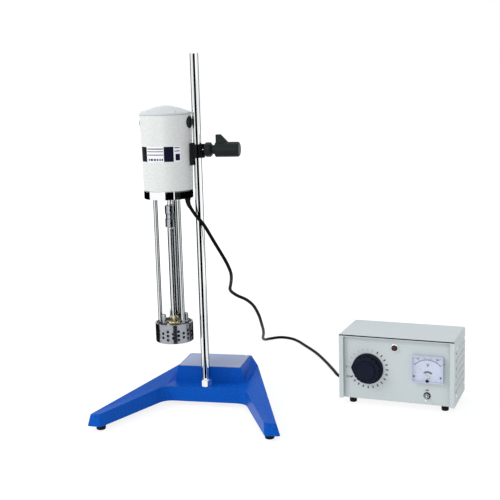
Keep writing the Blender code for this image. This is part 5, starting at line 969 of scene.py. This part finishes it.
# pilot lamp, toggle switch
lamp = {"at": (-3.1, 122.3), "lens": 5.5, "flange": 7.75, "body": 6.75, "depth": 9.0, "face": -0.3,
        "front": -2.7, "dome": 4.5}
toggle = {"at": (60.3, 31.3), "pivot": -4.3, "tilt": 24.0, "nutRadius": 5.4, "nutHeight": 3.2,
          "nutMiddle": -1.9, "bore": 2.3, "thread": 3.2, "threadRoot": 3.0, "threadStep": 0.35,
          "bodyLow": (-6.5, 2.3, -10), "bodyHigh": (6.5, 20.3, 10), "markSize": 4.4, "markRise": 10.8,
          "bat": [(0, -1.8), (1.0, -1.55), (1.6, -0.8), (1.8, 0), (1.5, 1.0), (1.0, 1.5), (1.1, 5),
                  (1.5, 9), (1.85, 11.2), (1.75, 12.2), (1.2, 12.8), (0, 13.0)]}


def makeLampAndToggle():
    x, z = lamp["at"]
    place = panelPlace @ shift(x, 0, z)
    r, front, face = lamp["lens"], lamp["front"], lamp["face"]
    flange, body, back = lamp["flange"], lamp["body"], face + lamp["depth"]
    bezel = turnProfile([(r + 0.3, front + 0.6), (r + 0.8, front), (flange - 1, front),
                         (flange - 0.3, front + 0.4), (flange, front + 1.2), (flange, face), (body, face),
                         (body, back), (r + 0.3, back), (r + 0.3, front + 0.6)], 64)
    settle(bezel, place @ turnToY, "pilotBezel", brightChrome, "stand", "pilot_bezel")
    turns = [math.pi / 20 * k for k in range(11)]
    dome = [(r * math.sin(t), front - lamp["dome"] * math.cos(t)) for t in turns]
    lens = turnProfile(dome + [(r, back - 1), (0, back - 1)], 64)
    settle(lens, place @ turnToY, "pilotLens", rubyLens, "stand", "pilot_lens")

    x, z = toggle["at"]
    place = panelPlace @ shift(x, 0, z)
    nut = makeCylinder(6, toggle["nutRadius"], toggle["nutHeight"])
    moveTo(nut, shift(0, toggle["nutMiddle"], 0) @ spun(90, "X"))
    finishEdges(nut, 0.4)
    r, root, bore = toggle["thread"], toggle["threadRoot"], toggle["bore"]
    threads = [(r if k % 2 else root, -3.8 + toggle["threadStep"] * k) for k in range(10)]
    bush = turnProfile([(bore, -4.6), (2.9, -4.6), (r, -4.2)] + threads
                       + [(r, 5), (bore, 5), (bore, -4.6)], 40)
    moveTo(bush, turnToY)
    carveWith(nut, bush, "UNION")
    carveWith(nut, moveTo(turnProfile([(0, -8), (bore, -8), (bore, 0.4), (0, 0.4)], 40), turnToY))
    body = cubeBetween(toggle["bodyLow"], toggle["bodyHigh"])
    carveWith(nut, finishEdges(body, 0.6), "UNION")
    moveTo(nut, place)
    washer = turnProfile([(5.0, -0.5), (6.9, -0.5), (7.1, -0.3), (7.1, 0.1), (5.0, 0.1), (5.0, -0.5)], 48)
    settle(washer, place @ turnToY, "toggleWasher", castEnamel, "stand")
    dress(finishEdges(nut), "toggleBody", turnedStainless, "stand", "toggle_body")
    lever = turnProfile(toggle["bat"], 32)
    settle(lever, place @ shift(0, toggle["pivot"], 0) @ spun(90 + toggle["tilt"], "X"), "toggleLever",
           brightChrome, "toggle", "toggle_lever")
    printFlat("switchMark", "ON", toggle["markSize"], x, z + toggle["markRise"], 0, darkInk)


makeLampAndToggle()

# meter
meter = {"at": (62.0, 85.6), "front": -9.3, "dial": -2.8, "pivotDrop": 15.0, "arc": 33.0, "sweep": 48.0,
         "numbers": ("0", "50", "100", "150", "200", "250"), "numberSize": 4.0, "numberOut": 6.4,
         "unitSize": 9.0, "unitRise": 22.5, "dialHalf": (28.2, 24.2), "steps": 25, "zeroDrop": 22.0,
         "screwOut": 25.8, "screwDrop": 14.0, "dialThick": 0.3}


# a band between two radii round the pointer's pivot, sweep degrees to each side
def bandAt(px, pz, inner, outer, sweep, face):
    turns = [math.radians(-sweep + 2 * sweep * k / 40) for k in range(41)]
    line = [(px + outer * math.sin(t), pz + outer * math.cos(t)) for t in turns]
    line += [(px + inner * math.sin(t), pz + inner * math.cos(t)) for t in reversed(turns)]
    return traceOutline(line + [line[0]], face - 0.15, face + 0.05)


def makeMeter():
    x, z = meter["at"]
    fineNode("meter_case", "meterCase", meterMoulding, "stand", 0.3)
    fineNode("meter_window", "meterWindow", clearAcrylic, "stand", 0.2)
    front = meter["dial"] - meter["dialThick"]
    wide, tall = meter["dialHalf"]
    face = cubeBetween((x - wide, front, z - tall), (x + wide, meter["dial"], z + tall))
    settle(face, panelPlace, "meterDial", dialWhite, "stand", edge=0.05)
    px, pz = x, z - meter["pivotDrop"]
    r, sweep = meter["arc"], meter["sweep"]
    marks = [bandAt(px, pz, r - 0.5, r + 0.5, sweep, front), bandAt(px, pz, 7.4, 11.4, 54, front)]
    for k in range(meter["steps"] + 1):
        length, width = (4.0, 0.45) if k % 5 == 0 else (2.2, 0.28)
        tick = cubeBetween((-width, front - 0.15, r), (width, front + 0.05, r + length))
        moveTo(tick, shift(px, 0, pz) @ spun(-sweep + 2 * sweep * k / meter["steps"], "Y"))
        marks.append(tick)
    settle(joinAll(marks), panelPlace, "dialMarks", darkInk, "stand")
    reach = r + meter["numberOut"]
    for k, text in enumerate(meter["numbers"]):
        t = math.radians(-sweep + 2 * sweep * k / 5)
        printFlat("dialNumber_" + text, text, meter["numberSize"], px + reach * math.sin(t),
                  pz + reach * math.cos(t), front, darkInk)
    printFlat("dialUnit", "V", meter["unitSize"], px, pz + meter["unitRise"], front, darkInk)
    screw = turnProfile([(0, 0), (3.2, 0), (3.2, -0.5), (2.8, -0.9), (0, -0.9)], 40)
    carveWith(screw, cubeBetween((-4, -0.4, -2), (4, 0.4, -0.5)))
    place = panelPlace @ shift(x, meter["front"], z - meter["zeroDrop"])
    settle(screw, place @ turnToY, "zeroScrew", mouldedAbs, "stand")
    for k, dx in enumerate((-meter["screwOut"], meter["screwOut"])):
        screw = turnProfile([(0, 0), (1.6, 0), (1.6, -0.5), (1.1, -0.9), (0, -0.95)], 32)
        place = panelPlace @ shift(x + dx, meter["front"], z - meter["screwDrop"])
        settle(screw, place @ turnToY, "meterScrew_%d" % k, castEnamel, "stand")
    fineNode("meter_needle", "meterPointer", groundSteel, "needle")


makeMeter()
print("panel made")

# floor and light, in metres
studio = {"floor": "#f4f5f6", "floorSize": 24, "fadeFrom": 0.45, "fadeTo": 1.3, "fadeNear": 0.74,
          "glow": 1.15, "sky": 0.52, "aim": (0, 0, 0.3),
          "lights": [("key", (-2.0, -1.4, 2.0), 1.3, 31.0, "#ffffff"),
                     ("fill", (1.9, -1.3, 1.4), 1.6, 2.5, "#ffffff"),
                     ("front", (-0.5, -3.0, 0.9), 1.6, 16.0, "#ffffff"),
                     ("top", (0.2, 0.4, 2.6), 1.8, 15.0, "#dce8ff")]}
# flags of cloth round the bright pieces: name, place, radius, lowest and highest, then each one's start,
# end and tone; those round the rods and the shaft share their parts and stand at a share of the radius
flags = {"black": "#050606", "dark": "#161a1a", "white": "#ffffff", "middle": "#6c7276", "grey": "#4a5252",
         "round": [("column", columnPlace, 14.0, 56, 702,
                    [(-100.9, -57.6, "black"), (12, 71, "dark"), (141, 200, "dark")]),
                   ("endRing", headPlace, 49.4, 418, 437.5,
                    [(174, 235.9, "black"), (-81, -61, "black"), (-58.7, -43.7, "grey"),
                     (-43.7, 41.6, "black")]),
                   ("endRingBack", headPlace, 50.1, 417, 438.5, [(-45, 43, "white")]),
                   ("workingRing", headPlace, 45.0, 131, 174,
                    [(170, 226, "dark"), (-78, -63, "middle"), (6, 51, "dark")]),
                   ("coupling", headPlace, 13.6, 362, 408,
                    [(8.6, 64.7, "black"), (150.8, 214.6, "black"), (-68, -36, "dark")])],
         "rodShare": 1.47, "rodSpan": (174, 418), "shaftSpan": (184, 360),
         "rodParts": [(-12, 65, "black"), (151, 227, "black"), (-76, -49, "black")]}


def makeMatt(name, colour, roughness):
    mat = bpy.data.materials.new(name)
    mat.use_nodes = True
    shader = mat.node_tree.nodes["Principled BSDF"]
    shader.inputs["Base Color"].default_value = fromHex(colour)
    shader.inputs["Roughness"].default_value = roughness
    shader.inputs["Specular IOR Level"].default_value = 0.0
    return mat


def makeFloor():
    deselect()
    bpy.ops.mesh.primitive_plane_add(size=studio["floorSize"])
    floor = bpy.context.object
    floor.name = "floor"
    mat = makeMatt("paleFloor", studio["floor"], 0.9)
    shader = mat.node_tree.nodes["Principled BSDF"]
    rays = addNode(mat, "ShaderNodeLightPath")
    seen = addNode(mat, "ShaderNodeMath", {0: rays.outputs["Is Camera Ray"],
                                           1: rays.outputs["Is Glossy Ray"]}, operation="MAXIMUM")
    place = addNode(mat, "ShaderNodeTexCoord")
    away = addNode(mat, "ShaderNodeVectorMath", {0: place.outputs["Object"]}, operation="LENGTH")
    fade = addNode(mat, "ShaderNodeMapRange", {"Value": away.outputs["Value"],
                                               "From Min": studio["fadeFrom"], "From Max": studio["fadeTo"],
                                               "To Min": studio["fadeNear"], "To Max": 1.0},
                   interpolation_type="SMOOTHSTEP")
    share = addNode(mat, "ShaderNodeMath", {0: seen.outputs[0], 1: fade.outputs[0]}, operation="MULTIPLY")
    glow = addNode(mat, "ShaderNodeEmission", {"Color": (1, 1, 1, 1), "Strength": studio["glow"]})
    mix = addNode(mat, "ShaderNodeMixShader", {0: share.outputs[0], 1: shader.outputs[0],
                                               2: glow.outputs[0]})
    mat.node_tree.links.new(mix.outputs[0], mat.node_tree.nodes["Material Output"].inputs["Surface"])
    floor.data.materials.append(mat)


# a flag shows only in reflections, and isn't part of the object
def makeFlag(name, axis, radius, low, high, start, end, tone):
    angle = math.radians(start)
    startPoint((radius * math.cos(angle), radius * math.sin(angle), low))
    bpy.ops.mesh.extrude_region_move(TRANSFORM_OT_translate={"value": (0, 0, (high - low) * mm)})
    bpy.ops.mesh.select_all(action="SELECT")
    bpy.ops.mesh.spin(steps=16, angle=-math.radians(end - start), center=(0, 0, 0), axis=(0, 0, 1))
    bpy.ops.object.mode_set(mode="OBJECT")
    flag = bpy.context.object
    flag.name = name
    flag.location = Vector((*axis, 0)) * mm
    flag.data.materials.append(makeMatt(name + "Cloth", flags[tone], 1.0))
    flag.visible_camera = False
    flag.visible_diffuse = False
    flag.visible_shadow = False
    flag.visible_transmission = False


def makeFlags():
    for name, place, radius, low, high, parts in flags["round"]:
        for k, (start, end, tone) in enumerate(parts):
            axis = place.translation.xy / mm
            makeFlag("%sFlag_%d" % (name, k), axis, radius, low, high, start, end, tone)
    axes = [(headPlace @ spun(turn) @ shift(head["rodRing"], 0, 0)).translation.xy / mm
            for turn in head["rodTurns"]]
    rods = [(axis, head["rodRadius"], flags["rodSpan"]) for axis in axes]
    rods.append((headPlace.translation.xy / mm, head["shaftRadius"], flags["shaftSpan"]))
    for k, (axis, radius, span) in enumerate(rods):
        for i, (start, end, tone) in enumerate(flags["rodParts"]):
            makeFlag("rodFlag_%d_%d" % (k, i), axis, radius * flags["rodShare"], *span, start, end, tone)


def makeLight():
    world = bpy.data.worlds.new("studioWorld")
    bpy.context.scene.world = world
    world.use_nodes = True
    background = world.node_tree.nodes["Background"]
    background.inputs["Color"].default_value = (1, 1, 1, 1)
    rays = addNode(world, "ShaderNodeLightPath")
    direct = addNode(world, "ShaderNodeMath", {0: rays.outputs["Is Camera Ray"],
                                               1: rays.outputs["Is Glossy Ray"]}, operation="MAXIMUM")
    strength = addNode(world, "ShaderNodeMapRange", {"Value": direct.outputs[0], "To Min": studio["sky"],
                                                     "To Max": 1.0})
    world.node_tree.links.new(strength.outputs[0], background.inputs["Strength"])
    for name, place, size, power, colour in studio["lights"]:
        data = bpy.data.lights.new(name + "Light", "AREA")
        data.shape = "SQUARE"
        data.size = size
        data.energy = power
        data.color = fromHex(colour)[:3]
        light = bpy.data.objects.new(name + "Light", data)
        bpy.context.scene.collection.objects.link(light)
        light.location = place
        aim = Vector(studio["aim"]) - Vector(place)
        light.rotation_euler = aim.to_track_quat("-Z", "Y").to_euler()


def makeStudio():
    makeFloor()
    makeFlags()
    makeLight()


makeStudio()
print("studio ready")
